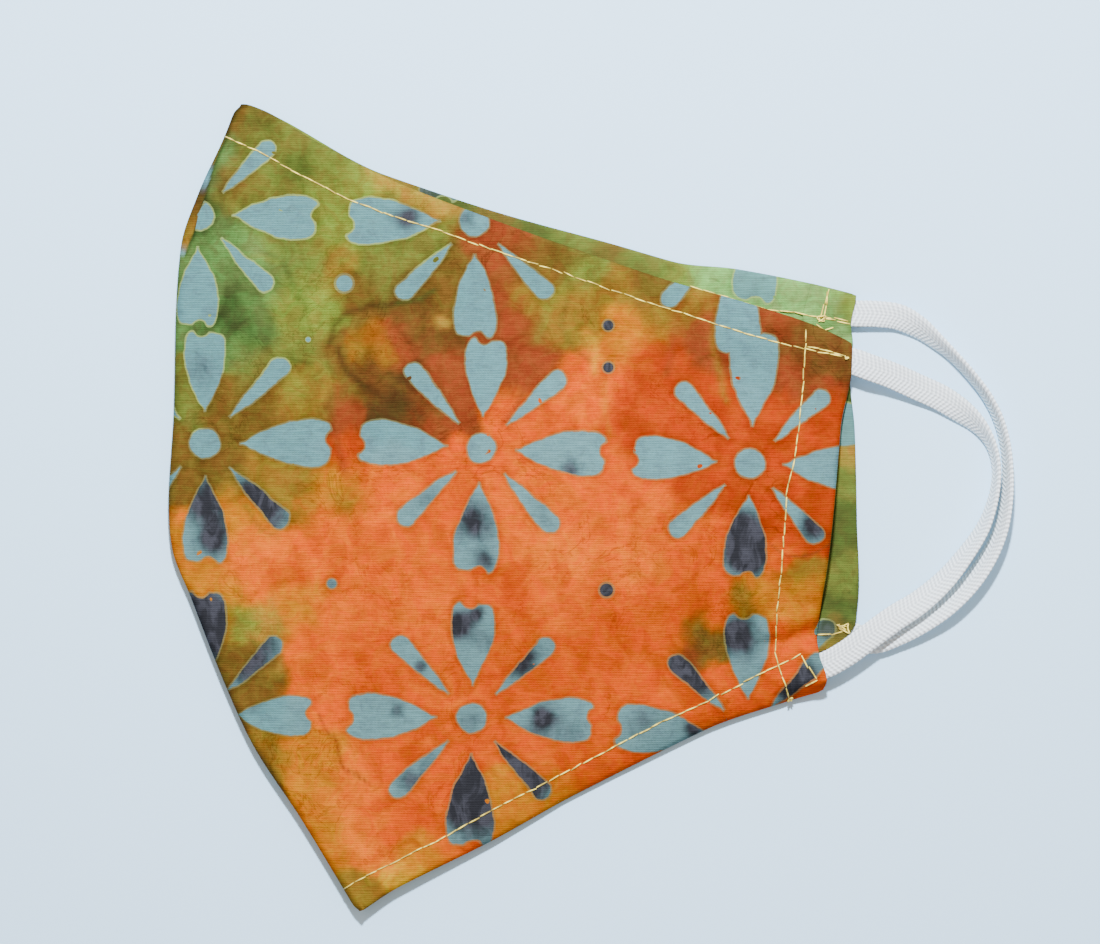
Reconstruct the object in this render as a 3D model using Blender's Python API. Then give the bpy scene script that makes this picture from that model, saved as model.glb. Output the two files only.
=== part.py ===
"""Cloth face mask with two ear loops, folded flat on its centre seam and lying on its right half.

Metres, +Z up. The origin is the middle of the base, on the surface that the mask lies on.
+X runs from the fold to the ear loops, and +Y from the chin to the nose.
Each half has two plies: an outer panel and a lining, with a turned-in hem along its side edge.
The plies are mirrored about the middle plane of the stack, and the upper, left half is domed.
"""

import math
from collections import namedtuple

import bmesh
import bpy
import numpy as np

# Driving sizes of the cloth
HALF_WIDTH = 0.1302
SEAM_HEIGHT = 0.1543
CHIN_SETBACK = 0.0354
NOSE_SETBACK = 0.0126
LEFT_SIDE_LENGTH = 0.0663
RIGHT_SIDE_LENGTH = 0.0684
LEFT_CORNER_UP = 0.0422
RIGHT_CORNER_UP = 0.0494
LEFT_CORNER_INSET = 0.0061
RIGHT_CORNER_INSET = 0.0070
LEFT_SIDE_LEAN = math.radians(4.4)
RIGHT_SIDE_LEAN = math.radians(5.9)
CLOTH = 0.0010
GAP = 0.0003
HEM_WIDTH = 0.0095
BELLY_RISE = 0.0065

# Driving sizes of the ear loops
STRAP_WIDTH = 0.0050
STRAP_THICKNESS = 0.0010
STRAP_REACH = 0.0299
LOW_FLARE = 0.0046
HIGH_FLARE = 0.0020

# Heights of the stack, counted from its middle plane
INNER_PLY = GAP / 2
INNER_ROOM = max(CLOTH, STRAP_THICKNESS)
OUTER_PLY = INNER_PLY + INNER_ROOM + GAP
MIDDLE = OUTER_PLY + CLOTH
FOLD_RADIUS = MIDDLE - GAP / 2

# How finely the cloth and the straps are divided
ROWS = 22
COLUMNS = 22
FOLD_COLUMNS = 4
HEM_COLUMNS = 3
STRAP_STEPS = 60

# Bow of each edge to its left as one goes along it, as a share of the edge's length
BOW = namedtuple("BOW", "along bow")
FOLD_EDGE = (
    BOW(0.000, 0.0000),
    BOW(0.123, 0.0514),
    BOW(0.224, 0.0975),
    BOW(0.298, 0.1191),
    BOW(0.407, 0.1443),
    BOW(0.477, 0.1591),
    BOW(0.649, 0.1301),
    BOW(0.835, 0.0945),
    BOW(0.894, 0.0650),
    BOW(0.961, 0.0217),
    BOW(1.000, 0.0000),
)
LEFT_TOP_EDGE = (
    BOW(0.000, 0.0000),
    BOW(0.039, 0.0006),
    BOW(0.131, -0.0136),
    BOW(0.300, -0.0274),
    BOW(0.453, -0.0251),
    BOW(0.692, -0.0156),
    BOW(0.830, -0.0025),
    BOW(0.935, 0.0037),
    BOW(1.000, 0.0000),
)
LEFT_BOTTOM_EDGE = (
    BOW(0.000, 0.0000),
    BOW(0.100, 0.0120),
    BOW(0.277, 0.0142),
    BOW(0.480, 0.0255),
    BOW(0.755, 0.0306),
    BOW(0.924, 0.0123),
    BOW(1.000, 0.0000),
)
LEFT_SIDE_EDGE = (
    BOW(0.000, 0.0000),
    BOW(0.029, -0.0006),
    BOW(0.110, 0.0286),
    BOW(0.158, 0.0353),
    BOW(0.401, 0.0225),
    BOW(0.755, 0.0150),
    BOW(0.900, -0.0035),
    BOW(1.000, 0.0000),
)
RIGHT_TOP_EDGE = (
    BOW(0.000, 0.0000),
    BOW(0.039, -0.0022),
    BOW(0.252, -0.0406),
    BOW(0.420, -0.0438),
    BOW(0.624, -0.0371),
    BOW(0.712, -0.0353),
    BOW(0.813, -0.0166),
    BOW(0.952, -0.0021),
    BOW(1.000, 0.0000),
)
RIGHT_BOTTOM_EDGE = (
    BOW(0.000, 0.0000),
    BOW(0.150, 0.0087),
    BOW(0.500, 0.0037),
    BOW(1.000, 0.0000),
)
RIGHT_SIDE_EDGE = (
    BOW(0.000, 0.0000),
    BOW(0.046, -0.0640),
    BOW(0.100, -0.0890),
    BOW(0.155, -0.0902),
    BOW(0.378, -0.0643),
    BOW(0.632, -0.0316),
    BOW(0.777, -0.0049),
    BOW(0.869, -0.0024),
    BOW(0.921, 0.0100),
    BOW(1.000, 0.0000),
)

# Dome of the left half: shares of the belly's rise, from fold to side and from bottom to top
RISE = namedtuple("RISE", "along rise")
RISE_ACROSS = (
    RISE(0.00, 0.00),
    RISE(0.06, 0.00),
    RISE(0.28, 0.50),
    RISE(0.50, 0.92),
    RISE(0.64, 1.00),
    RISE(0.85, 0.90),
    RISE(1.00, 0.84),
)
RISE_UP = (
    RISE(0.00, 0.12),
    RISE(0.14, 0.12),
    RISE(0.35, 0.75),
    RISE(0.52, 1.00),
    RISE(0.68, 0.75),
    RISE(0.87, 0.12),
    RISE(1.00, 0.12),
)

# Route of each ear loop from its upper end: up the side edge, out from it as a share of the
# reach, lower edge's height as a share of the end's height, and degrees turned on its edge
ROUTE = namedtuple("ROUTE", "up out height turn")
LEFT_ROUTE = (
    ROUTE(1.013, -0.200, 1.00, 0),
    ROUTE(1.000, 0.000, 1.00, 0),
    ROUTE(0.979, 0.124, 0.96, 0),
    ROUTE(0.956, 0.256, 0.72, 0),
    ROUTE(0.916, 0.440, 0.36, 2),
    ROUTE(0.883, 0.586, 0.16, 10),
    ROUTE(0.841, 0.721, 0.05, 30),
    ROUTE(0.795, 0.837, 0.01, 55),
    ROUTE(0.739, 0.925, 0.01, 73),
    ROUTE(0.677, 0.975, 0.01, 80),
    ROUTE(0.611, 0.992, 0.01, 80),
    ROUTE(0.529, 0.977, 0.01, 75),
    ROUTE(0.447, 0.930, 0.02, 66),
    ROUTE(0.361, 0.835, 0.08, 56),
    ROUTE(0.282, 0.724, 0.20, 44),
    ROUTE(0.210, 0.578, 0.42, 30),
    ROUTE(0.158, 0.431, 0.68, 15),
    ROUTE(0.099, 0.283, 0.92, 5),
    ROUTE(0.039, 0.135, 1.00, 0),
    ROUTE(0.000, 0.000, 1.00, 0),
    ROUTE(-0.027, -0.180, 1.00, 0),
)
RIGHT_ROUTE = (
    ROUTE(1.011, -0.200, 1.00, 0),
    ROUTE(1.000, 0.000, 1.00, 0),
    ROUTE(0.998, 0.151, 0.80, 2),
    ROUTE(0.989, 0.291, 0.40, 15),
    ROUTE(0.958, 0.419, 0.15, 40),
    ROUTE(0.914, 0.534, 0.03, 60),
    ROUTE(0.867, 0.643, 0.03, 72),
    ROUTE(0.810, 0.752, 0.03, 75),
    ROUTE(0.744, 0.856, 0.03, 76),
    ROUTE(0.672, 0.933, 0.03, 76),
    ROUTE(0.587, 0.982, 0.03, 76),
    ROUTE(0.493, 1.000, 0.03, 75),
    ROUTE(0.405, 0.990, 0.03, 71),
    ROUTE(0.320, 0.954, 0.03, 65),
    ROUTE(0.239, 0.880, 0.03, 57),
    ROUTE(0.163, 0.774, 0.03, 50),
    ROUTE(0.094, 0.630, 0.03, 42),
    ROUTE(0.044, 0.472, 0.05, 28),
    ROUTE(0.006, 0.314, 0.20, 14),
    ROUTE(-0.019, 0.156, 0.70, 3),
    ROUTE(0.000, 0.000, 1.00, 0),
    ROUTE(0.018, -0.170, 1.00, 0),
)

HALF = namedtuple("HALF", "facing corner_inset corner_up side_length lean top bottom side strap_ends route")
LEFT = HALF(
    1, LEFT_CORNER_INSET, LEFT_CORNER_UP, LEFT_SIDE_LENGTH, LEFT_SIDE_LEAN,
    LEFT_TOP_EDGE, LEFT_BOTTOM_EDGE, LEFT_SIDE_EDGE, (0.072, 0.947), LEFT_ROUTE,
)
RIGHT = HALF(
    -1, RIGHT_CORNER_INSET, RIGHT_CORNER_UP, RIGHT_SIDE_LENGTH, RIGHT_SIDE_LEAN,
    RIGHT_TOP_EDGE, RIGHT_BOTTOM_EDGE, RIGHT_SIDE_EDGE, (0.059, 0.948), RIGHT_ROUTE,
)

# Base colour and roughness of each kind of cloth
ORANGE_PRINT = ((0.76, 0.15, 0.03), 0.85)
OLIVE_PRINT = ((0.30, 0.22, 0.05), 0.85)
GREEN_LINING = ((0.36, 0.47, 0.20), 0.85)
RED_LINING = ((0.55, 0.12, 0.03), 0.85)
WHITE_ELASTIC = ((0.83, 0.83, 0.80), 0.70)


def clear_scene():
    for thing in list(bpy.data.objects):
        bpy.data.objects.remove(thing, do_unlink=True)


def cloth_material(name, finish):
    colour, roughness = finish
    material = bpy.data.materials.new(name)
    material.use_nodes = True
    shader = material.node_tree.nodes["Principled BSDF"]
    shader.inputs["Base Color"].default_value = (*colour, 1.0)
    shader.inputs["Roughness"].default_value = roughness
    shader.inputs["Metallic"].default_value = 0.0
    return material


def steady(table, share):
    """A smooth curve through a table's rows that never swings past them."""
    along = np.array([row[0] for row in table])
    value = np.array([row[1] for row in table])
    steps = np.diff(along)
    slopes = np.diff(value) / steps
    tangents = np.zeros(len(along))
    tangents[0] = slopes[0]
    tangents[-1] = slopes[-1]
    for i in range(1, len(along) - 1):
        before = slopes[i - 1]
        after = slopes[i]
        if before * after > 0:
            tangents[i] = 2 * before * after / (before + after)
    i = int(np.clip(np.searchsorted(along, share) - 1, 0, len(steps) - 1))
    u = (share - along[i]) / steps[i]
    start = value[i] * (1 + 2 * u) * (1 - u) ** 2 + tangents[i] * steps[i] * u * (1 - u) ** 2
    end = value[i + 1] * u * u * (3 - 2 * u) + tangents[i + 1] * steps[i] * u * u * (u - 1)
    return float(start + end)


def bowed(start, end, bows, share):
    """A point of an edge between two corners, bowed to the left by its table."""
    chord = end - start
    leftward = np.array([-chord[1], chord[0]])
    return start + chord * share + leftward * steady(bows, share)


def corners(half):
    """Chin, nose, lower side corner and upper side corner, in plan."""
    centre = np.array([(HALF_WIDTH + STRAP_REACH) / 2, SEAM_HEIGHT / 2])
    chin = np.array([CHIN_SETBACK, 0.0]) - centre
    nose = np.array([NOSE_SETBACK, SEAM_HEIGHT]) - centre
    lower = np.array([HALF_WIDTH - half.corner_inset, half.corner_up]) - centre
    along_side = np.array([math.sin(half.lean), math.cos(half.lean)])
    upper = lower + half.side_length * along_side
    return chin, nose, lower, upper


def plan(half, across, up):
    """The point of a half at shares of its way from fold to side and from bottom to top."""
    chin, nose, lower, upper = corners(half)
    bottom_edge = bowed(chin, lower, half.bottom, across)
    top_edge = bowed(nose, upper, half.top, across)
    fold_edge = bowed(chin, nose, FOLD_EDGE, up)
    side_edge = bowed(lower, upper, half.side, up)
    ruled = (1 - up) * bottom_edge + up * top_edge + (1 - across) * fold_edge + across * side_edge
    twice = (1 - up) * ((1 - across) * chin + across * lower) + up * ((1 - across) * nose + across * upper)
    return ruled - twice


def rise(half, across, up):
    if half is RIGHT:
        return 0.0
    return BELLY_RISE * steady(RISE_ACROSS, across) * steady(RISE_UP, up)


def ply_point(half, level, across, up):
    """A point of a ply's inner face, at a level counted from the middle plane."""
    x, y = plan(half, across, up)
    return (x, y, MIDDLE + half.facing * (level + rise(half, across, up)))


def fold_point(half, turn, up):
    """A point of the outer ply's inner face where it curls round to the fold."""
    begin = plan(half, FOLD_RADIUS / HALF_WIDTH, up)
    edge = plan(half, 0.0, up)
    inner_radius = FOLD_RADIUS - CLOTH
    x, y = begin + (edge - begin) * math.sin(turn) * inner_radius / FOLD_RADIUS
    return (x, y, MIDDLE + half.facing * (GAP / 2 + inner_radius * math.cos(turn)))


def cloth_sheet(name, half, points, material):
    """A closed sheet of cloth: a grid laid on the points, thickened outwards."""
    column_count = len(points)
    row_count = len(points[0])
    mesh = bpy.data.meshes.new(name)
    builder = bmesh.new()
    rows = [[builder.verts.new(point) for point in column] for column in points]
    for i in range(column_count - 1):
        for j in range(row_count - 1):
            face = builder.faces.new((rows[i][j], rows[i + 1][j], rows[i + 1][j + 1], rows[i][j + 1]))
            face.smooth = True
    bmesh.ops.recalc_face_normals(builder, faces=builder.faces)
    if sum(face.normal.z for face in builder.faces) < 0:
        bmesh.ops.reverse_faces(builder, faces=builder.faces)
    builder.to_mesh(mesh)
    builder.free()
    mesh.materials.append(material)
    sheet = bpy.data.objects.new(name, mesh)
    bpy.context.collection.objects.link(sheet)
    thicken = sheet.modifiers.new("Cloth thickness", "SOLIDIFY")
    thicken.thickness = CLOTH
    thicken.offset = half.facing
    thicken.use_even_offset = True
    return sheet


def outer_panel(name, half, finish):
    turns = [math.pi / 2 * (1 - i / FOLD_COLUMNS) for i in range(FOLD_COLUMNS)]
    ups = np.linspace(0, 1, ROWS + 1)
    acrosses = np.linspace(FOLD_RADIUS / HALF_WIDTH, 1, COLUMNS + 1)
    points = [[fold_point(half, turn, up) for up in ups] for turn in turns]
    points += [[ply_point(half, OUTER_PLY, across, up) for up in ups] for across in acrosses]
    return cloth_sheet(name, half, points, cloth_material(name, finish))


def lining(name, half, finish):
    hem_line = 1 - (HEM_WIDTH + GAP) / HALF_WIDTH
    ups = np.linspace(0, 1, ROWS + 1)
    acrosses = np.linspace(FOLD_RADIUS / HALF_WIDTH, hem_line, COLUMNS + 1)
    points = [[ply_point(half, INNER_PLY, across, up) for up in ups] for across in acrosses]
    return cloth_sheet(name, half, points, cloth_material(name, finish))


def side_hem(name, half, finish):
    """The turned-in hem between the two ends of the ear loop."""
    beside = STRAP_WIDTH / 2 + GAP
    first = half.strap_ends[0] + (beside + LOW_FLARE) / half.side_length
    last = half.strap_ends[1] - (beside + HIGH_FLARE) / half.side_length
    ups = np.linspace(first, last, ROWS - 3)
    acrosses = np.linspace(1 - HEM_WIDTH / HALF_WIDTH, 1, HEM_COLUMNS + 1)
    points = [[ply_point(half, INNER_PLY, across, up) for up in ups] for across in acrosses]
    return cloth_sheet(name, half, points, cloth_material(name, finish))


def strap_path(half):
    """Centre points of an ear loop's free band, its width direction and its thickness direction."""
    chin, nose, lower, upper = corners(half)
    low_end = bowed(lower, upper, half.side, half.strap_ends[0])
    high_end = bowed(lower, upper, half.side, half.strap_ends[1])
    knots = []
    for row in half.route:
        turn = math.radians(row.turn)
        if half is LEFT:
            end_height = MIDDLE + INNER_PLY + rise(half, 1.0, half.strap_ends[0])
        else:
            end_height = MIDDLE - INNER_PLY - STRAP_THICKNESS
        half_tall = (STRAP_WIDTH * math.sin(turn) + STRAP_THICKNESS * math.cos(turn)) / 2
        x, y = low_end + (high_end - low_end) * row.up
        knots.append((x + row.out * STRAP_REACH, y, row.height * end_height + half_tall, turn))
    knots = np.array(knots)
    lengths = np.linalg.norm(np.diff(knots[:, :3], axis=0), axis=1)
    along = np.concatenate(([0.0], np.cumsum(lengths)))
    middle = np.linspace(0, along[-1], STRAP_STEPS + 1)
    path = np.array([smooth_through(along, knots, distance) for distance in middle])
    ahead = np.gradient(path[:, :3], axis=0)
    ahead /= np.linalg.norm(ahead, axis=1)[:, None]
    outward = np.stack([-ahead[:, 1], ahead[:, 0], np.zeros(len(ahead))], axis=1)
    outward /= np.linalg.norm(outward, axis=1)[:, None]
    upward = np.cross(ahead, outward)
    turn = path[:, 3][:, None]
    wide = outward * np.cos(turn) + upward * np.sin(turn)
    thick = np.cross(ahead, wide)
    return path[:, :3], wide, thick


def smooth_through(along, knots, distance):
    """A smooth curve through the knots, each with the slope between its neighbours."""
    i = int(np.clip(np.searchsorted(along, distance) - 1, 0, len(along) - 2))
    step = along[i + 1] - along[i]
    u = (distance - along[i]) / step
    before = max(i - 1, 0)
    after = min(i + 2, len(along) - 1)
    start_slope = (knots[i + 1] - knots[before]) / (along[i + 1] - along[before])
    end_slope = (knots[after] - knots[i]) / (along[after] - along[i])
    start = knots[i] * (1 + 2 * u) * (1 - u) ** 2 + start_slope * step * u * (1 - u) ** 2
    end = knots[i + 1] * u * u * (3 - 2 * u) + end_slope * step * u * u * (u - 1)
    return start + end


def ear_loop(name, half, finish):
    """A flat band with bevelled edges, swept along its route by joining section to section."""
    centres, wide, thick = strap_path(half)
    edge = 0.2 * STRAP_THICKNESS
    section = []
    for side, top in ((1, -1), (1, 1), (-1, 1), (-1, -1)):
        flat = (side * (STRAP_WIDTH / 2 - edge), top * STRAP_THICKNESS / 2)
        upright = (side * STRAP_WIDTH / 2, top * (STRAP_THICKNESS / 2 - edge))
        section += [flat, upright] if side * top < 0 else [upright, flat]
    mesh = bpy.data.meshes.new(name)
    builder = bmesh.new()
    rings = []
    for centre, across, through in zip(centres, wide, thick):
        rings.append([builder.verts.new(centre + a * across + b * through) for a, b in section])
    for ring, following in zip(rings, rings[1:]):
        for k in range(len(section)):
            turn = (k + 1) % len(section)
            face = builder.faces.new((ring[k], ring[turn], following[turn], following[k]))
            face.smooth = True
    builder.faces.new(rings[0])
    builder.faces.new(list(reversed(rings[-1])))
    bmesh.ops.recalc_face_normals(builder, faces=builder.faces)
    builder.to_mesh(mesh)
    builder.free()
    mesh.materials.append(cloth_material(name, finish))
    mesh.set_sharp_from_angle(angle=math.radians(50))
    band = bpy.data.objects.new(name, mesh)
    bpy.context.collection.objects.link(band)
    return band


def build_mask():
    clear_scene()
    pieces = [
        outer_panel("right_outer_panel", RIGHT, ORANGE_PRINT),
        lining("right_lining", RIGHT, GREEN_LINING),
        side_hem("right_side_hem", RIGHT, OLIVE_PRINT),
        ear_loop("right_ear_loop", RIGHT, WHITE_ELASTIC),
        outer_panel("left_outer_panel", LEFT, ORANGE_PRINT),
        lining("left_lining", LEFT, RED_LINING),
        side_hem("left_side_hem", LEFT, OLIVE_PRINT),
        ear_loop("left_ear_loop", LEFT, WHITE_ELASTIC),
    ]
    mask = bpy.data.objects.new("cloth_face_mask", None)
    bpy.context.collection.objects.link(mask)
    for piece in pieces:
        piece.parent = mask


build_mask()
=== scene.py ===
"""Looks of a cloth face mask, folded flat on its centre seam: batik cotton and white elastic loops."""

import math
from collections import namedtuple

import bmesh
import bpy
import numpy as np
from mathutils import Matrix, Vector, noise
from mathutils.bvhtree import BVHTree


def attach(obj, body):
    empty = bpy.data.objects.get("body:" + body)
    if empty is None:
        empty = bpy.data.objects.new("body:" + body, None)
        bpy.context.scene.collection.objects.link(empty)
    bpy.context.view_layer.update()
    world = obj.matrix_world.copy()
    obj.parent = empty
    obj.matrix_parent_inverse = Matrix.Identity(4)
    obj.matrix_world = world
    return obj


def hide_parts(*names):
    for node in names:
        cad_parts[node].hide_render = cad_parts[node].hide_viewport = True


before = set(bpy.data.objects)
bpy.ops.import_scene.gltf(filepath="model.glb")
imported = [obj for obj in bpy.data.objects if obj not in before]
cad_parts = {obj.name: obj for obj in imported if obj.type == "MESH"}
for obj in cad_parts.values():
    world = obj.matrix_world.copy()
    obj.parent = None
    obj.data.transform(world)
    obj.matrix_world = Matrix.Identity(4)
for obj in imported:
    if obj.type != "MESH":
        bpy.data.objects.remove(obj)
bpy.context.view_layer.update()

# The photograph: its scale, the pixel above the origin of the part, and the height its scale is for
METRES_PER_PIXEL = 0.00019
ORIGIN_PIXEL = (593.0, 507.0)
PHOTO_SIZE = (1100, 944)
PHOTO_LEVEL = 0.002
LENS = 135.0
SENSOR = 36.0
MM = 0.001
UP = np.array([0, 0, 1.0])

# Sizes of the real cloth, thread and elastic
PLY = 0.00045
HEM_WIDTH = 0.0095
STRAP_WIDTH = 0.0050
STRAP_THICKNESS = 0.0010
THREAD = 0.00031
STITCH_STEP = 0.0024
STITCH_WOBBLE = 0.00009
STITCH_ARCH = 0.00010
STITCH_LIFT = 0.00002

# The braid of the elastic: step, slant and height of its ribs, its cross ribs, and its edges' teeth
BRAID_STEP = 0.00085
BRAID_SLANT = 0.45
CROSS_STEP = 0.00062
RIB_HEIGHT = 0.00004
TOOTH_SHARE = 0.018
LOOP_STEPS = 620

# Drop of the cloth at its edges: depth, reach from the edge, power
EDGE_CURL = (0.00040, 0.0026, 1.4)
SIDE_CURL = (0.00020, 0.0045, 1.5)
INNER_CURL = (0.00045, 0.0025, 1.5)
BOTTOM_DROOP = (0.0027, 0.0090, 1.5)
SIDE_DROOP = (0.0004, 0.0050, 1.5)
EDGE_ROUND = 0.00095
INNER_ROUND = 0.00060

# The lower border droops more from this share of the way across on, over that much further
DROOP_STARTS = 0.05
DROOP_GROWS = 0.4

# Over the tucked ends of the elastic the cloth stays up: how far in, and how softly that ends
STRAP_ROOM = 0.0068
STRAP_SOFTNESS = 0.0022
DROOP_SOFTNESS = 0.0035
STRAP_LIFT = 0.00062

# Beside the fold the cloth is calm up to this share of the way across, and that much further
CALM_TO = 0.02
CALM_FADES = 0.05

# Dips and puckers at the stitches, the groove beside the centre seam, and the gap inside its fold
DIP_DEPTH = 0.00016
DIP_REACH = 0.0007
PUCKER_HEIGHT = 0.00007
PUCKER_REACH = 0.0026
PUCKER_STEP = 0.0029
GROOVE_DEPTH = 0.00030
GROOVE_REACH = 0.00035
FOLD_GAP = 0.00004

# Soft unevenness of the cloth: height, size, seed
WRINKLES = ((0.00026, 0.030, 3.7), (0.00007, 0.008, 5.3))
INNER_WRINKLES = ((0.00012, 0.014, 8.8),)

# Pools of dye: size and reach of their ragged lobes, how sharply they end, and their far tail
LOBE_SIZE = 0.0070
LOBE_REACH = 0.0030
VEIN_WANDER = 0.0006
POOL_SHARPNESS = 1.4
POOL_TAIL = 1e-7

# Steps of the weave in millimetres
RIB_STEP = 0.43
WARP_STEP = 0.50

# Heights of the plies where they lie flat, by the under face of each
LEVEL = {
    "right_outer_panel": 0.00002,
    "right_lining": 0.00130,
    "right_side_hem": 0.00130,
    "left_lining": 0.00260,
    "left_side_hem": 0.00260,
    "left_outer_panel": 0.00390,
}

# The same outline as the solids: bow of each edge to its left, as a share of its length, between
# its two ends, where the bow is none
HALF_WIDTH = 0.1302
SEAM_HEIGHT = 0.1543
CHIN_SETBACK = 0.0354
NOSE_SETBACK = 0.0126
STRAP_REACH = 0.0299
BELLY_RISE = 0.0065
FOLD_EDGE = (
    (0.123, 0.0514), (0.224, 0.0975), (0.298, 0.1191), (0.407, 0.1443), (0.477, 0.1591),
    (0.649, 0.1301), (0.835, 0.0945), (0.894, 0.0650), (0.961, 0.0217),
)
LEFT_TOP_EDGE = (
    (0.039, 0.0006), (0.131, -0.0136), (0.300, -0.0274), (0.453, -0.0251), (0.692, -0.0156),
    (0.830, -0.0025), (0.935, 0.0037),
)
LEFT_BOTTOM_EDGE = ((0.100, 0.0120), (0.277, 0.0142), (0.480, 0.0255), (0.755, 0.0306), (0.924, 0.0123))
LEFT_SIDE_EDGE = (
    (0.029, -0.0006), (0.110, 0.0286), (0.158, 0.0353), (0.401, 0.0225), (0.755, 0.0150),
    (0.900, -0.0035),
)
RIGHT_TOP_EDGE = (
    (0.039, -0.0022), (0.252, -0.0406), (0.420, -0.0438), (0.624, -0.0371), (0.712, -0.0353),
    (0.813, -0.0166), (0.952, -0.0021),
)
RIGHT_BOTTOM_EDGE = ((0.150, 0.0087), (0.500, 0.0037))
RIGHT_SIDE_EDGE = (
    (0.046, -0.0640), (0.100, -0.0890), (0.155, -0.0902), (0.378, -0.0643), (0.632, -0.0316),
    (0.777, -0.0049), (0.869, -0.0024), (0.921, 0.0100),
)
RISE_ACROSS = (
    (0.00, 0.00), (0.06, 0.00), (0.28, 0.50), (0.50, 0.92), (0.64, 1.00), (0.85, 0.90), (1.00, 0.84),
)
RISE_UP = (
    (0.00, 0.12), (0.14, 0.12), (0.35, 0.75), (0.52, 1.00), (0.68, 0.75), (0.87, 0.12), (1.00, 0.12),
)

# How far each turned corner is drawn in, and over what distance: chin, nose, lower, upper
CORNER_PULL = ((0.0005, 0.0011), (0.0009, 0.0016), (0.0003, 0.0009), (0.0002, 0.0008))

# A half: its side edge's lower corner, length and lean, its edges, and where the elastic is tucked in
HALF = namedtuple("HALF", "corner_inset corner_up side_length lean top bottom side strap_ends")
LEFT = HALF(
    0.0061, 0.0422, 0.0663, math.radians(4.4),
    LEFT_TOP_EDGE, LEFT_BOTTOM_EDGE, LEFT_SIDE_EDGE, (0.072, 0.947),
)
RIGHT = HALF(
    0.0070, 0.0494, 0.0684, math.radians(5.9),
    RIGHT_TOP_EDGE, RIGHT_BOTTOM_EDGE, RIGHT_SIDE_EDGE, (0.059, 0.948),
)

# Route of each ear loop from its upper end, the same as the solids follow: share up the side
# edge, share of the reach out from it, height as a share of the end's height, degrees turned
LEFT_ROUTE = (
    (1.013, -0.200, 1.00, 0), (1.000, 0.000, 1.00, 0), (0.979, 0.124, 0.96, 0), (0.956, 0.256, 0.72, 0),
    (0.916, 0.440, 0.36, 2), (0.883, 0.586, 0.16, 10), (0.841, 0.721, 0.05, 30), (0.795, 0.837, 0.01, 55),
    (0.739, 0.925, 0.01, 73), (0.677, 0.975, 0.01, 80), (0.611, 0.992, 0.01, 80), (0.529, 0.977, 0.01, 75),
    (0.447, 0.930, 0.02, 66), (0.361, 0.835, 0.08, 56), (0.282, 0.724, 0.20, 44), (0.210, 0.578, 0.42, 30),
    (0.158, 0.431, 0.68, 15), (0.099, 0.283, 0.92, 5), (0.039, 0.135, 1.00, 0), (0.000, 0.000, 1.00, 0),
    (-0.027, -0.180, 1.00, 0),
)
RIGHT_ROUTE = (
    (1.011, -0.200, 1.00, 0), (1.000, 0.000, 1.00, 0), (0.998, 0.151, 0.80, 2), (0.989, 0.291, 0.40, 15),
    (0.958, 0.419, 0.15, 40), (0.914, 0.534, 0.03, 60), (0.867, 0.643, 0.03, 72), (0.810, 0.752, 0.03, 75),
    (0.744, 0.856, 0.03, 76), (0.672, 0.933, 0.03, 76), (0.587, 0.982, 0.03, 76), (0.493, 1.000, 0.03, 75),
    (0.405, 0.990, 0.03, 71), (0.320, 0.954, 0.03, 65), (0.239, 0.880, 0.03, 57), (0.163, 0.774, 0.03, 50),
    (0.094, 0.630, 0.03, 42), (0.044, 0.472, 0.05, 28), (0.006, 0.314, 0.20, 14), (-0.019, 0.156, 0.70, 3),
    (0.000, 0.000, 1.00, 0), (0.018, -0.170, 1.00, 0),
)
LEFT_END_HEIGHT = LEVEL["left_lining"] + BELLY_RISE * RISE_ACROSS[-1][1] * RISE_UP[-1][1]
RIGHT_END_HEIGHT = LEVEL["right_lining"]

# Dyes of the ground and of the wax print, as shares of light that they reflect, and the other colours
DYES = {
    "orange": (0.360, 0.044, 0.0005),
    "warm_orange": (0.410, 0.058, 0.0008),
    "red_orange": (0.235, 0.024, 0.0012),
    "rust": (0.132, 0.026, 0.007),
    "brown": (0.070, 0.031, 0.007),
    "dark_brown": (0.034, 0.018, 0.005),
    "peach": (0.450, 0.078, 0.002),
    "ochre": (0.160, 0.058, 0.004),
    "green": (0.070, 0.130, 0.032),
    "amber": (0.300, 0.088, 0.002),
    "gold": (0.350, 0.160, 0.006),
    "tan": (0.200, 0.110, 0.014),
    "mustard": (0.130, 0.071, 0.008),
    "bronze": (0.079, 0.046, 0.008),
    "olive": (0.076, 0.082, 0.013),
    "dark_olive": (0.036, 0.042, 0.008),
    "moss": (0.053, 0.102, 0.025),
    "lime": (0.102, 0.126, 0.016),
    "pale_green": (0.112, 0.218, 0.058),
    "dark_green": (0.022, 0.038, 0.010),
    "sky": (0.070, 0.165, 0.180),
}
SKY = (0.056, 0.130, 0.138)
PALE_SKY = (0.076, 0.200, 0.205)
WAX_GREY = (0.052, 0.088, 0.100)
WAX_OLIVE = (0.060, 0.105, 0.080)
SLATE_GREY = (0.033, 0.035, 0.043)
INK = (0.015, 0.016, 0.019)
RIM = (0.100, 0.104, 0.042)
PALE_RIM = (0.190, 0.250, 0.080)
THREAD_PALE = (0.850, 0.700, 0.110)
THREAD_DIM = (0.360, 0.270, 0.035)
ELASTIC_PALE = (0.80, 0.89, 0.90)
# The elastic's white darkened as painted shade, for the grooves between its ribs
ELASTIC_GROOVE_SHADE = (0.50, 0.56, 0.58)
FLOOR_PALE = (0.518, 0.790, 0.992)
FLOOR_DIM = (0.500, 0.765, 0.975)
WORLD_COLOUR = (1.0, 0.80, 0.71, 1.0)
WORLD_STRENGTH = 0.85

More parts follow.
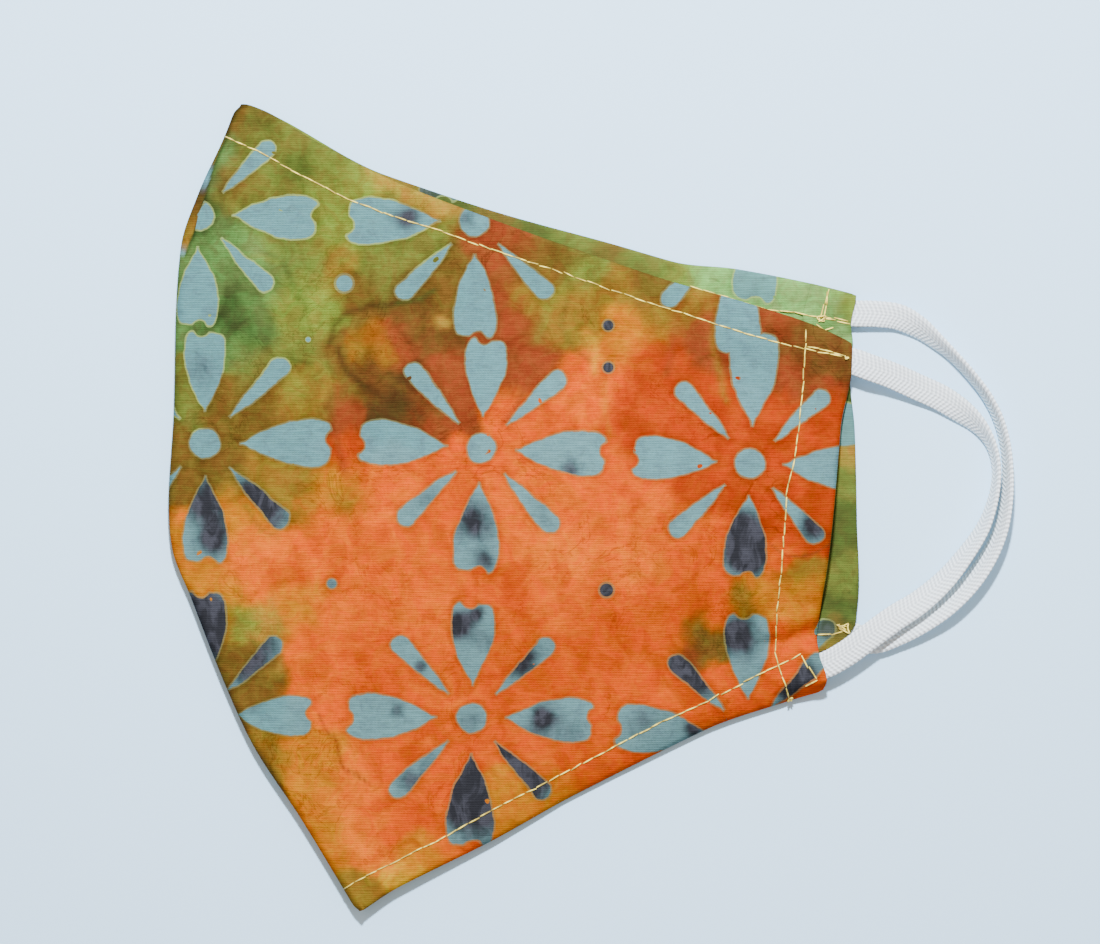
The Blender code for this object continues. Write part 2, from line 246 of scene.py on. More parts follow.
# Pools of dye on the upper half: photo pixel and spread in pixels, by dye
LEFT_POOLS = {
    "bronze": (
        (240, 118, 30), (238, 190, 22), (362, 300, 20), (448, 298, 14), (345, 350, 14), (525, 262, 18),
        (460, 265, 14), (560, 262, 20), (650, 290, 20), (338, 400, 16), (262, 400, 22), (228, 395, 18),
        (222, 465, 18), (185, 455, 14), (228, 660, 16), (258, 680, 16), (240, 705, 14), (275, 765, 16),
        (705, 640, 18),
    ),
    "olive": (
        (288, 140, 22), (262, 145, 22), (330, 180, 34), (262, 200, 30), (300, 250, 30), (258, 360, 22),
        (305, 345, 22), (400, 240, 26), (385, 270, 26), (590, 265, 20), (185, 400, 18),
    ),
    "dark_olive": ((262, 128, 16), (300, 165, 18)),
    "lime": (
        (362, 195, 24), (330, 215, 30), (298, 300, 30), (330, 325, 18), (299, 393, 13), (252, 618, 12),
    ),
    "tan": ((395, 180, 20), (430, 195, 22), (437, 324, 9), (272, 622, 16)),
    "moss": ((218, 160, 20), (225, 240, 22), (262, 305, 20), (240, 350, 20), (190, 300, 18)),
    "dark_green": ((210, 205, 22), (245, 315, 24)),
    "green": ((270, 272, 30),),
    "mustard": (
        (335, 270, 18), (530, 295, 20), (552, 314, 22), (585, 300, 20), (575, 335, 18), (620, 295, 18),
        (665, 320, 20), (690, 310, 16), (305, 395, 22), (258, 480, 22), (300, 482, 22), (345, 505, 18),
        (236, 622, 12), (250, 745, 18), (738, 598, 14), (800, 578, 16), (362, 900, 14), (345, 880, 14),
    ),
    "brown": (
        (405, 298, 20), (430, 343, 16), (345, 332, 12), (370, 385, 18), (795, 342, 18), (835, 350, 16),
        (825, 365, 18),
    ),
    "ochre": ((372, 340, 16),),
    "rust": (
        (400, 345, 16), (445, 366, 14), (435, 395, 22), (500, 250, 24), (486, 300, 16), (510, 330, 18),
        (700, 330, 22), (700, 350, 22), (775, 325, 18), (790, 375, 18), (830, 390, 16), (535, 370, 24),
        (345, 420, 14), (430, 410, 18), (690, 655, 14),
    ),
    "dark_brown": ((400, 400, 24),),
    "amber": (
        (612, 340, 20), (640, 330, 20), (335, 490, 22), (245, 520, 20), (195, 572, 16), (225, 570, 18),
        (300, 610, 22), (232, 600, 14), (298, 755, 20), (765, 590, 14), (800, 600, 20), (325, 760, 22),
        (310, 800, 22), (330, 845, 20), (425, 850, 18), (520, 805, 20), (565, 785, 16),
    ),
    "orange": (
        (590, 370, 24), (545, 420, 26), (440, 480, 22), (440, 530, 30), (500, 590, 30), (620, 480, 30),
        (600, 640, 36), (690, 540, 26), (700, 590, 24), (660, 610, 28), (770, 560, 16), (795, 640, 20),
        (812, 660, 18), (765, 690, 20), (725, 700, 20), (640, 670, 30), (560, 670, 30), (380, 670, 30),
        (400, 740, 28), (430, 790, 26), (385, 810, 22), (520, 700, 28), (590, 765, 26), (640, 750, 22),
        (610, 700, 22), (690, 715, 20),
    ),
    "warm_orange": (
        (580, 400, 26), (400, 485, 24), (372, 530, 26), (330, 530, 26), (290, 570, 26), (310, 665, 24),
        (350, 630, 26), (410, 580, 36), (515, 545, 26), (560, 500, 30), (640, 530, 30), (560, 600, 34),
        (430, 640, 34), (335, 700, 20), (450, 840, 18),
    ),
    "red_orange": (
        (660, 375, 28), (640, 430, 30), (690, 420, 34), (800, 430, 26), (700, 470, 30), (835, 420, 18),
        (345, 455, 16), (790, 530, 20), (820, 500, 24), (820, 465, 18),
    ),
    "peach": ((250, 550, 24), (560, 545, 28), (645, 565, 22), (350, 790, 22), (372, 840, 20)),
    "gold": ((392, 868, 16),),
}

# Veins of dye on the upper half: photo pixels, width in pixels, dye, strength
LEFT_VEINS = (
    (((332, 345), (334, 325), (346, 312), (368, 306), (392, 304), (418, 300)), 8, "dark_brown", 0.75),
    (((396, 304), (420, 298), (436, 290)), 5, "dark_olive", 0.8),
    (((340, 350), (348, 372), (362, 386), (384, 396), (402, 410)), 8, "dark_brown", 0.80),
    (((372, 366), (396, 384), (420, 400), (440, 414)), 6, "brown", 0.75),
    (((398, 326), (412, 345), (418, 372), (432, 392)), 7, "dark_brown", 0.4),
    (((352, 330), (360, 345), (364, 362)), 9, "mustard", 0.6),
    (((592, 262), (568, 282), (546, 306), (534, 340)), 12, "lime", 0.36),
    (((566, 300), (560, 325), (572, 348), (592, 362)), 6, "bronze", 0.55),
    (((584, 330), (596, 345), (594, 372)), 8, "gold", 0.5),
    (((240, 288), (258, 296), (272, 320), (262, 350)), 10, "dark_green", 0.42),
    (((268, 252), (284, 262), (296, 285)), 8, "dark_green", 0.5),
    (((300, 296), (308, 306), (303, 318)), 5, "dark_olive", 0.5),
    (((287, 352), (298, 362), (312, 366)), 5, "dark_olive", 0.6),
    (((321, 712), (326, 728), (338, 742), (341, 762), (345, 770), (356, 774), (368, 780)), 3, "rust", 0.75),
    (((768, 545), (780, 555), (797, 557), (814, 551), (828, 542)), 3, "rust", 0.8),
    (((604, 378), (604, 410), (610, 440)), 7, "amber", 0.4),
    (((678, 300), (672, 340), (668, 372)), 9, "rust", 0.5),
    (((716, 300), (714, 350), (724, 400)), 8, "mustard", 0.6),
    (((520, 300), (516, 345), (524, 390), (510, 420)), 9, "rust", 0.6),
    (((336, 385), (342, 410), (338, 440), (346, 470)), 8, "rust", 0.6),
    (((240, 260), (262, 258), (280, 262)), 6, "lime", 0.4),
    (((300, 565), (330, 556), (352, 566)), 6, "peach", 0.5),
    (((245, 505), (262, 530), (280, 536)), 5, "mustard", 0.6),
    (((700, 560), (690, 580), (672, 590)), 5, "red_orange", 0.6),
    (((585, 760), (600, 768), (612, 764)), 7, "rust", 0.3),
    (((275, 600), (282, 640), (276, 672)), 8, "tan", 0.5),
)

# Pools of dye on the lower half
RIGHT_POOLS = {
    "lime": ((300, 140, 30), (680, 268, 22), (848, 300, 16)),
    "olive": (
        (360, 172, 24), (575, 238, 22), (650, 258, 20), (850, 480, 14), (850, 570, 18),
        (500, 500, 160),
    ),
    "mustard": ((410, 192, 22), (830, 646, 10)),
    "dark_olive": ((450, 203, 20), (540, 228, 20), (850, 385, 16), (850, 530, 20), (850, 605, 16)),
    "bronze": ((500, 222, 20), (610, 250, 20), (845, 625, 8)),
    "pale_green": ((715, 280, 24), (770, 290, 30), (815, 305, 24), (850, 345, 12)),
    "moss": ((835, 330, 14),),
    "dark_green": ((850, 400, 12),),
    "tan": ((848, 452, 12),),
    "amber": ((300, 600, 120),),
}

# The stamped flowers: centre pixel, turn in degrees, reach to each side and along the slants
FLOWER = namedtuple("FLOWER", "x y turn east north west south slant")
LEFT_STAMPS_A = (
    FLOWER(200, 216, -1, 0.99, 1.00, 1.00, 0.92, 0.98),
    FLOWER(475, 222, 0, 1.00, 1.00, 1.06, 0.97, 1.02),
    FLOWER(737, 231, 0, 1.00, 1.00, 1.00, 1.03, 1.00),
    FLOWER(205, 715, 0, 0.90, 1.03, 1.00, 1.00, 1.02),
    FLOWER(472, 717, -1, 1.01, 0.97, 1.04, 1.08, 1.05),
    FLOWER(748, 732, 1, 1.00, 1.00, 0.05, 1.00, 1.03),
)
LEFT_STAMPS_B = (
    FLOWER(206, 443, 0, 1.06, 0.93, 1.00, 1.00, 1.10),
    FLOWER(482, 448, -3, 1.03, 0.91, 1.02, 1.03, 1.05),
    FLOWER(748, 463, -3, 1.00, 1.10, 0.97, 0.95, 1.00),
    FLOWER(746, 737, -5, 0.05, 0.05, 1.10, 0.05, 0.05),
)
RIGHT_STAMPS_A = (
    FLOWER(440, 82, 0, 1.00, 1.00, 1.00, 1.00, 1.00),
    FLOWER(769, 183, -8, 1.00, 1.00, 1.00, 1.00, 1.00),
    FLOWER(440, 620, 0, 1.00, 1.00, 1.00, 1.00, 1.00),
    FLOWER(754, 700, 0, 1.00, 1.00, 1.00, 1.00, 1.05),
)
RIGHT_STAMPS_B = (
    FLOWER(440, 350, 0, 1.00, 1.00, 1.00, 1.00, 1.00),
    FLOWER(742, 424, 0, 1.00, 1.00, 1.00, 1.00, 1.00),
)

# Places of the upper half that took no wax: photo pixel, spread in pixels, strength
LEFT_BARE = ((530, 226, 26, 3.0), (560, 236, 20, 3.0), (268, 784, 16, 3.0), (281, 213, 5, 2.0))

# The strip of the other half's cloth beyond the centre seam: share down the seam, dye
SEAM_LINE = (
    (247, 106), (243, 107), (236, 113), (230, 126), (228, 137), (220, 153), (213, 172), (208, 190),
    (204, 205), (198, 225), (191, 243), (186, 256),
)
SEAM_STRIP = (
    (0.00, "dark_brown"), (0.20, "dark_brown"), (0.30, "bronze"), (0.42, "bronze"), (0.47, "sky"),
    (0.54, "sky"), (0.60, "dark_brown"), (0.72, "bronze"), (0.85, "mustard"), (0.95, "mustard"),
    (1.00, "sky"),
)

# That strip's reach past the seam, the width of its soft edge, and the painted shade along the seam:
# strength, spread
SEAM_REACH = 0.003
SEAM_EDGE = 0.0003
SEAM_SHADE = (0.55, 0.00045)

# Slate patches in the petals: photo pixel, spread in pixels, strength
LEFT_SLATES = (
    (203, 500, 26, 1.0), (213, 540, 18, 1.0), (203, 368, 26, 0.55), (262, 503, 36, 1.3),
    (205, 615, 34, 1.3), (248, 655, 40, 1.1), (252, 702, 14, 0.5), (474, 520, 24, 1.0),
    (486, 560, 14, 0.8), (570, 470, 12, 0.9), (432, 498, 20, 0.55), (545, 512, 24, 0.35),
    (742, 520, 16, 0.6), (747, 549, 30, 1.5), (813, 526, 18, 1.1), (459, 624, 15, 1.4),
    (478, 612, 9, 0.9), (484, 640, 12, 0.35), (421, 666, 8, 0.9), (519, 658, 26, 1.0),
    (398, 709, 9, 0.8), (400, 441, 18, 0.24), (543, 716, 13, 1.0), (574, 729, 22, 0.45),
    (471, 716, 14, 0.45), (524, 766, 36, 1.3), (474, 790, 44, 1.7), (412, 782, 20, 0.5),
    (735, 635, 16, 0.9), (756, 648, 22, 0.4), (740, 622, 18, 0.5), (692, 668, 34, 1.4),
    (798, 684, 24, 1.6), (642, 722, 24, 0.5), (694, 729, 12, 0.9), (408, 219, 14, 1.0),
    (385, 212, 12, 0.3), (465, 220, 12, 0.6), (470, 300, 10, 0.2), (748, 465, 12, 0.3),
    (608, 326, 11, 1.6), (608, 368, 11, 1.6), (606, 589, 13, 1.7), (333, 583, 9, 0.7),
    (205, 443, 14, 0.2),
)
RIGHT_SLATES = ((430, 197, 34, 1.2), (830, 628, 18, 1.2), (752, 300, 16, 0.4), (700, 275, 10, 0.3))

# Wax dots: photo pixel, radius in pixels
LEFT_DOTS = (
    (608, 326, 5.5), (608, 368, 5.5), (333, 583, 5.0), (606, 589, 7.0), (345, 284, 8.5),
    (309, 340, 2.5),
)

# Lines of stitching on each half, as photo pixels
LEFT_TOP_STITCH = (
    (224, 137), (257, 151), (293, 171), (342, 197), (387, 215), (429, 228), (500, 253), (549, 269),
    (612, 291), (675, 312), (751, 336), (806, 350), (841, 357),
)
LEFT_TOP_BACK_STITCH = ((845, 356), (806, 347))
LEFT_SIDE_STITCH = (
    (805, 330), (803, 378), (798, 420), (792.6, 458), (784, 492), (781, 551), (775, 616), (775, 652),
    (778, 667), (785, 686), (790, 700),
)
LEFT_BOTTOM_STITCH = (
    (343, 887), (388, 864), (440, 839), (484, 814), (520, 795), (555, 777), (607, 750), (659, 722),
    (711, 699), (764, 671), (800, 654),
)
LEFT_CORNER_STITCH = ((800, 654), (816, 679), (803, 685.5))
RIGHT_TOP_STITCH = (
    (690, 286), (722, 296), (743, 302), (762, 308), (780, 311), (800, 313), (816, 317), (850, 324),
)
RIGHT_TOP_BACK_STITCH = ((848, 321), (832, 318), (818, 316))
RIGHT_SIDE_STITCH = ((829, 289), (828, 298), (824, 306), (826, 313), (820, 318))
RIGHT_SIDE_STITCH_BACK = ((822, 322), (825, 308), (830, 298), (827, 291))
RIGHT_HEM_STITCH = ((816, 324), (824, 331), (833, 328))
RIGHT_CORNER_STITCH = ((817, 635), (824, 637), (832, 634), (846, 630))
LEFT_LINES = (LEFT_TOP_STITCH, LEFT_SIDE_STITCH, LEFT_BOTTOM_STITCH, LEFT_CORNER_STITCH)
RIGHT_LINES = (RIGHT_TOP_STITCH, RIGHT_SIDE_STITCH, RIGHT_CORNER_STITCH, RIGHT_HEM_STITCH)

# Loose ends of thread: centre pixel, radius, turns
LEFT_TANGLES = (((790, 700), 0.00045, 3.0), ((791, 699), 0.00030, 2.5), ((845, 358), 0.00040, 1.2))
RIGHT_TANGLES = (((845, 628), 0.00110, 1.6), ((840, 627), 0.00080, 1.2), ((821, 318), 0.00080, 1.6))

# Creases of the upper half: photo pixels along each, height, spread
CREASES = (
    (((743, 566), (749, 582), (753, 598), (760, 618)), -0.00050, 0.0007),
    (((738, 572), (744, 590), (748, 606)), 0.00022, 0.0014),
    (((768, 644), (782, 641), (800, 634), (824, 628)), -0.00095, 0.0016),
    (((776, 624), (798, 619), (822, 612)), 0.00055, 0.0022),
    (((786, 660), (806, 652), (822, 648)), 0.00050, 0.0018),
    (((600, 250), (560, 330), (520, 470), (505, 600)), 0.00030, 0.0060),
    (((330, 230), (300, 420), (320, 640)), -0.00025, 0.0090),
)

# Half widths of the petals in millimetres, by distance from the flower's centre
HEART_WIDTHS = (
    (0, 0.0), (26, 1.6), (6.4, 0.05), (8.5, 1.15), (11.0, 2.35), (13.5, 3.30), (16.0, 3.92), (18.2, 4.16),
    (20.2, 4.05), (21.8, 3.65), (23.4, 2.9),
)
SLIM_WIDTHS = ((0, 0.0), (26, 1.65), (6.3, 0.10), (8.5, 0.60), (12.5, 1.15), (16.0, 1.53), (18.2, 1.65))

# The rest of the flower, in millimetres from its centre: where each kind of petal starts and ends,
# the lean of the heart's end and its notch, the slim petal's round tip, and the centre's disc
HEART_START = 6.4
HEART_END = 22.6
HEART_LEAN = 0.10
NOTCH_PLACE = (23.2, 0.6)
NOTCH_RADIUS = 1.7
SLIM_START = 6.3
SLIM_END = 18.4
SLIM_TIP = 18.3
SLIM_TIP_RADIUS = 1.70
CENTRE_RADIUS = 2.80

# The reach and the height in millimetres that the width curves are drawn in
CURVE_REACH = 26.0
CURVE_TOP = 10.0

# A petal whose reach is less than this share is left out, beyond this many millimetres
HIDDEN_REACH = 0.1
HIDDEN_FROM = 3.2


def place(pixels):
    """The plan points in metres of pixels of the photograph."""
    return (np.array(pixels) - ORIGIN_PIXEL) * (METRES_PER_PIXEL, -METRES_PER_PIXEL)


def run_length(points):
    """How far along a line of points each of them is."""
    return np.concatenate(([0.0], np.cumsum(np.linalg.norm(np.diff(points, axis=0), axis=1))))


def hermite(start, end, start_slope, end_slope, step, u):
    """A cubic from start to end over a step, at the share u of it, with slopes given at its ends."""
    leaving = start * (1 + 2 * u) * (1 - u) ** 2 + start_slope * step * u * (1 - u) ** 2
    arriving = end * u * u * (3 - 2 * u) + end_slope * step * u * u * (u - 1)
    return leaving + arriving


def steady(table, share):
    """A smooth curve through a table's rows that never swings past them, for an array of shares."""
    along, value = np.array(table, float).T
    steps = np.diff(along)
    slopes = np.diff(value) / steps
    product = slopes[:-1] * slopes[1:]
    total = np.where(product > 0, slopes[:-1] + slopes[1:], 1.0)
    tangents = np.concatenate((slopes[:1], np.where(product > 0, 2 * product / total, 0.0), slopes[-1:]))
    share = np.asarray(share, float)
    i = np.clip(np.searchsorted(along, share) - 1, 0, len(steps) - 1)
    u = (share - along[i]) / steps[i]
    return hermite(value[i], value[i + 1], tangents[i], tangents[i + 1], steps[i], u)


def bell(distance, spread):
    """One at no distance, falling smoothly to none beyond the spread."""
    return np.exp(-(distance / spread) ** 2)


def bowed(start, end, bows, share):
    """Plan points at shares of the way along an edge that bows between its start and its end."""
    chord = end - start
    leftward = np.array([-chord[1], chord[0]])
    share = np.asarray(share, float)
    return start + chord * share[..., None] + leftward * steady(((0, 0), *bows, (1, 0)), share)[..., None]


def corners(half):
    centre = np.array([(HALF_WIDTH + STRAP_REACH) / 2, SEAM_HEIGHT / 2])
    chin = np.array([CHIN_SETBACK, 0.0]) - centre
    nose = np.array([NOSE_SETBACK, SEAM_HEIGHT]) - centre
    lower = np.array([HALF_WIDTH - half.corner_inset, half.corner_up]) - centre
    upper = lower + half.side_length * np.array([math.sin(half.lean), math.cos(half.lean)])
    return chin, nose, lower, upper


def plan(half, across, up):
    """Plan points at every pair of the shares across and up: an array of columns by rows."""
    chin, nose, lower, upper = corners(half)
    across = np.asarray(across, float)
    up = np.asarray(up, float)
    bottom_edge = bowed(chin, lower, half.bottom, across)[:, None, :]
    top_edge = bowed(nose, upper, half.top, across)[:, None, :]
    fold_edge = bowed(chin, nose, FOLD_EDGE, up)[None, :, :]
    side_edge = bowed(lower, upper, half.side, up)[None, :, :]
    s = across[:, None, None]
    t = up[None, :, None]
    ruled = (1 - t) * bottom_edge + t * top_edge + (1 - s) * fold_edge + s * side_edge
    twice = (1 - t) * ((1 - s) * chin + s * lower) + t * ((1 - s) * nose + s * upper)
    return soften_corners(ruled - twice, (chin, nose, lower, upper))


def soften_corners(points, turned):
    """Draws the cloth in a little at its turned corners, which are never quite sharp."""
    middle = sum(turned) / 4
    for corner, (amount, spread) in zip(turned, CORNER_PULL):
        inward = (middle - corner) / np.linalg.norm(middle - corner)
        distance = np.linalg.norm(points - corner, axis=-1)
        points = points + inward * (amount * bell(distance, spread))[..., None]
    return points


def crowded(count, clusters):
    """Shares from 0 to 1 that lie closer together near the clusters: (centre, spread, extra)."""
    fine = np.linspace(0, 1, 4001)
    density = np.ones_like(fine)
    for centre, spread, extra in clusters:
        density += extra * bell(fine - centre, spread)
    total = np.concatenate(([0.0], np.cumsum((density[1:] + density[:-1]) / 2)))
    return np.interp(np.linspace(0, total[-1], count + 1), total, fine)


def near_line(points, line):
    """For each plan point, its distance to a line of photo pixels and how far along it that is."""
    knots = place(line)
    best = np.full(points.shape[:-1], 1.0)
    along = np.zeros(points.shape[:-1])
    for a, b, travelled in zip(knots, knots[1:], run_length(knots)):
        step = b - a
        share = np.clip(((points - a) @ step) / (step @ step), 0, 1)
        distance = np.linalg.norm(points - a - share[..., None] * step, axis=-1)
        closer = distance < best
        best = np.where(closer, distance, best)
        along = np.where(closer, travelled + share * np.linalg.norm(step), along)
    return best, along


def soft_noise(points, scale, seed, octaves=2):
    """Smooth noise from -1 to 1 over plan points, with features about scale metres wide."""
    flat = points.reshape(-1, 2) / scale
    values = [noise.fractal((x, y, seed), 1.0, 2.0, octaves) for x, y in flat]
    return np.array(values).reshape(points.shape[:-1])


def stitch_relief(points, lines):
    """The dip under each line of stitches, and the cloth's small puckers beside it."""
    relief = np.zeros(points.shape[:-1])
    for line in lines:
        distance, along = near_line(points, line)
        waves = np.cos(2 * math.pi * along / PUCKER_STEP)
        relief += PUCKER_HEIGHT * bell(distance, PUCKER_REACH) * waves
        relief -= DIP_DEPTH * bell(distance, DIP_REACH)
    return relief


def edge_distance(half, across, up):
    """Distance of each point to the bottom edge, to the side edge, and to the nearest open edge."""
    tall = np.linalg.norm(plan(half, across, [1.0])[:, 0] - plan(half, across, [0.0])[:, 0], axis=-1)
    wide = np.linalg.norm(plan(half, [1.0], up)[0] - plan(half, [0.0], up)[0], axis=-1)
    s = np.asarray(across)[:, None]
    t = np.asarray(up)[None, :]
    top = (1 - t) * tall[:, None]
    bottom = t * tall[:, None]
    side = (1 - s) * wide[None, :]
    return bottom, side, np.minimum(np.minimum(top, bottom), side)


def drop(distance, curl):
    """How far the cloth falls at a distance from its edge."""
    depth, reach, power = curl
    return depth * np.clip(1 - distance / reach, 0, 1) ** power


def strap_ends(half):
    lower, upper = corners(half)[2:]
    return bowed(lower, upper, half.side, np.array(half.strap_ends))


def clear_of_strap(half, points, softness=STRAP_SOFTNESS):
    """One over the tucked ends of a half's elastic, and none away from them."""
    nearness = np.zeros(points.shape[:-1])
    for end in strap_ends(half):
        beside = np.abs(points[..., 1] - end[1]) - STRAP_WIDTH / 2
        behind = end[0] - STRAP_ROOM - points[..., 0]
        away = np.maximum(np.maximum(beside, behind), 0)
        nearness = np.maximum(nearness, np.clip(1 - away / softness, 0, 1))
    return nearness ** 2 * (3 - 2 * nearness)


def left_rise(across, up):
    """How far the upper half stands above its flat level: its dome, and its lower border's droop."""
    dome = steady(RISE_ACROSS, across)[:, None] * steady(RISE_UP, up)[None, :]
    bottom, side = edge_distance(LEFT, across, up)[:2]
    share = np.clip((across[:, None] - DROOP_STARTS) / DROOP_GROWS, 0, 1)
    droop = share * drop(bottom, BOTTOM_DROOP) + drop(side, SIDE_DROOP)
    return BELLY_RISE * dome - droop * (1 - clear_of_strap(LEFT, plan(LEFT, across, up), DROOP_SOFTNESS))


def uneven(points, wrinkles, creases=()):
    """Soft unevenness of pressed cotton, and its creases."""
    relief = sum(height * soft_noise(points, size, seed) for height, size, seed in wrinkles)
    for line, height, spread in creases:
        relief += height * bell(near_line(points, line)[0], spread)
    return relief


def mesh_object(name, vertices, faces):
    mesh = bpy.data.meshes.new(name)
    mesh.from_pydata([tuple(v) for v in vertices], [], [tuple(f) for f in faces])
    mesh.validate()
    mesh.polygons.foreach_set("use_smooth", [True] * len(mesh.polygons))
    mesh.update()
    thing = bpy.data.objects.new(name, mesh)
    bpy.context.collection.objects.link(thing)
    return thing


def sheet_object(name, upper, lower):
    """A closed sheet between two grids of points of the same size."""
    columns, rows = upper.shape[:2]
    count = columns * rows
    index = np.arange(count).reshape(columns, rows)
    below = index + count
    quads = np.stack([index[:-1, :-1], index[1:, :-1], index[1:, 1:], index[:-1, 1:]], axis=-1)
    under = np.stack([below[:-1, :-1], below[:-1, 1:], below[1:, 1:], below[1:, :-1]], axis=-1)
    border = np.concatenate([index[:, 0], index[-1, 1:], index[-2::-1, -1], index[0, -2:0:-1]])
    rims = [(b, a, a + count, b + count) for a, b in zip(border, np.roll(border, -1))]
    faces = [*quads.reshape(-1, 4).tolist(), *under.reshape(-1, 4).tolist(), *rims]
    return mesh_object(name, np.concatenate([upper.reshape(-1, 3), lower.reshape(-1, 3)]), faces)


def pool_colours(points, pools, veins):
    """The dyed ground at each plan point: pools of dye that run into each other in ragged lobes."""
    wander = np.stack([soft_noise(points, LOBE_SIZE, seed, 5) for seed in (1.3, 7.9)], axis=-1)
    moved = points + LOBE_REACH * wander
    weights = []
    colours = []
    for dye, spots in pools.items():
        for x, y, spread in spots:
            distance = np.linalg.norm(moved - place((x, y)), axis=-1)
            away = (distance / (spread * METRES_PER_PIXEL)) ** 2
            weights.append(np.exp(-away * POOL_SHARPNESS) + POOL_TAIL / (1 + away))
            colours.append(np.array(DYES[dye]) ** 0.5)
    weights = np.array(weights)
    weights /= weights.sum(axis=0)
    blend = np.tensordot(weights, np.array(colours), axes=(0, 0)) ** 2
    for line, width, dye, strength in veins:
        distance = near_line(points + VEIN_WANDER * wander, line)[0]
        share = (strength * bell(distance, width * METRES_PER_PIXEL / 2))[..., None]
        blend = blend * (1 - share) + np.array(DYES[dye]) * share
    return blend


def patches_at(points, patches):
    """How strong round patches are at each plan point, where they may lie over each other."""
    total = np.zeros(points.shape[:-1])
    for x, y, spread, strength in patches:
        distance = np.linalg.norm(points - place((x, y)), axis=-1)
        total += strength * bell(distance, spread * METRES_PER_PIXEL)
    return total


def flower_map(stamps, points, nearest_to, loops, sizes):
    """Millimetres out from the nearest flower, stretched to the reach of each petal."""
    stamped = place([(f.x, f.y) for f in stamps])
    chosen = np.repeat(nearest_to(stamped), sizes)
    offset = (points[loops] - stamped[chosen]) / MM
    turn = np.radians([f.turn for f in stamps])[chosen]
    x = offset[:, 0] * np.cos(turn) + offset[:, 1] * np.sin(turn)
    y = offset[:, 1] * np.cos(turn) - offset[:, 0] * np.sin(turn)
    east, north, west, south, slant = np.array([f[3:] for f in stamps])[chosen].T
    main = np.where(np.abs(x) > np.abs(y), np.where(x > 0, east, west), np.where(y > 0, north, south))
    slanted = np.abs(x * y) * 2 / (x * x + y * y + 1e-9)
    share = np.clip(slanted * 1.8 - 0.8, 0, 1)
    size = main * (1 - share) + slant * share
    out = np.hypot(x, y)
    hidden = (size < HIDDEN_REACH) & (out > HIDDEN_FROM)
    size = np.where(hidden, size, 1 + (size - 1) * np.clip((out - 4) / 4, 0, 1))
    return np.stack([x / size, y / size], axis=-1)


def seam_strip(points, colours):
    """Colours the narrow strip of the other half's cloth that shows past the top of the centre seam, and
    paints shade along the seam.
    """
    distance, along = near_line(points, SEAM_LINE)
    knots = place(SEAM_LINE)
    beyond = points[:, 0] < np.interp(-points[:, 1], -knots[:, 1], knots[:, 0])
    inside = beyond & (points[:, 1] > knots[-1, 1]) & (distance < SEAM_REACH)
    shares, names = zip(*SEAM_STRIP)
    dyes = np.array([DYES[name] for name in names])
    places = along / run_length(knots)[-1]
    strip = np.stack([np.interp(places, shares, channel) for channel in dyes.T], axis=-1)
    weight = np.where(inside, np.clip(distance / SEAM_EDGE, 0, 1), 0.0)[:, None]
    # Painted shade in the crease along the seam line
    strength, spread = SEAM_SHADE
    colours = colours * (1 - strength * bell(distance, spread))[:, None]
    return colours * (1 - weight) + strip * weight, weight[:, 0]


def read(collection, key, width, kind=float):
    """A property of all the vertices, loops or faces of a mesh, as rows of an array."""
    values = np.empty(len(collection) * width, kind)
    collection.foreach_get(key, values)
    return values.reshape(-1, width)


def add_map(mesh, name, coords):
    mesh.uv_layers.new(name=name).data.foreach_set("uv", coords.ravel())


def add_shares(mesh, name, shares):
    mesh.attributes.new(name, "FLOAT", "POINT").data.foreach_set("value", shares)


def add_print(thing, pools, slates, stamps_a, stamps_b, dots=(), seam=False):
    """Stores the dyed ground, the slate patches, the wax dots and the maps of the stamped flowers."""
    mesh = thing.data
    points = read(mesh.vertices, "co", 3)[:, :2]
    centres = read(mesh.polygons, "center", 3)[:, :2]
    loops = read(mesh.loops, "vertex_index", 1, int)[:, 0]
    sizes = read(mesh.polygons, "loop_total", 1, int)[:, 0]

    def nearest_to(places):
        return np.linalg.norm(centres[:, None, :] - places[None], axis=-1).argmin(axis=1)

    colours = pool_colours(points, pools, LEFT_VEINS if pools is LEFT_POOLS else ())
    bare = np.zeros(len(points))
    if seam:
        colours, bare = seam_strip(points, colours)
        bare = np.maximum(bare, np.clip(patches_at(points, LEFT_BARE) - 0.6, 0, 1))
    dye = mesh.color_attributes.new("dye", "FLOAT_COLOR", "POINT")
    dye.data.foreach_set("color", np.concatenate([colours, np.ones((len(points), 1))], axis=1).ravel())
    add_shares(mesh, "slate", patches_at(points, slates))
    add_shares(mesh, "blank", bare)
    add_map(mesh, "flower_a", flower_map(stamps_a, points, nearest_to, loops, sizes))
    add_map(mesh, "flower_b", flower_map(stamps_b, points, nearest_to, loops, sizes))
    add_map(mesh, "cloth", points[loops] / MM)
    if dots:
        x, y, radius = np.array(dots).T
        spots = place(np.stack([x, y], axis=-1))
        spot = np.repeat(nearest_to(spots), sizes)
        add_map(mesh, "dot", (points[loops] - spots[spot]) / (radius[spot] * METRES_PER_PIXEL)[:, None])


class Value:
    """A number, vector or colour in a material's graph, with which sums can be written."""

    def __init__(self, graph, socket):
        self.graph = graph
        self.socket = socket

    def __add__(self, other):
        return self.graph.math("ADD", self, other)

    def __sub__(self, other):
        return self.graph.math("SUBTRACT", self, other)

    def __rsub__(self, other):
        return self.graph.math("SUBTRACT", other, self)

    def __mul__(self, other):
        return self.graph.math("MULTIPLY", self, other)

    def __truediv__(self, other):
        return self.graph.math("DIVIDE", self, other)

    def __abs__(self):
        return self.graph.math("ABSOLUTE", self)


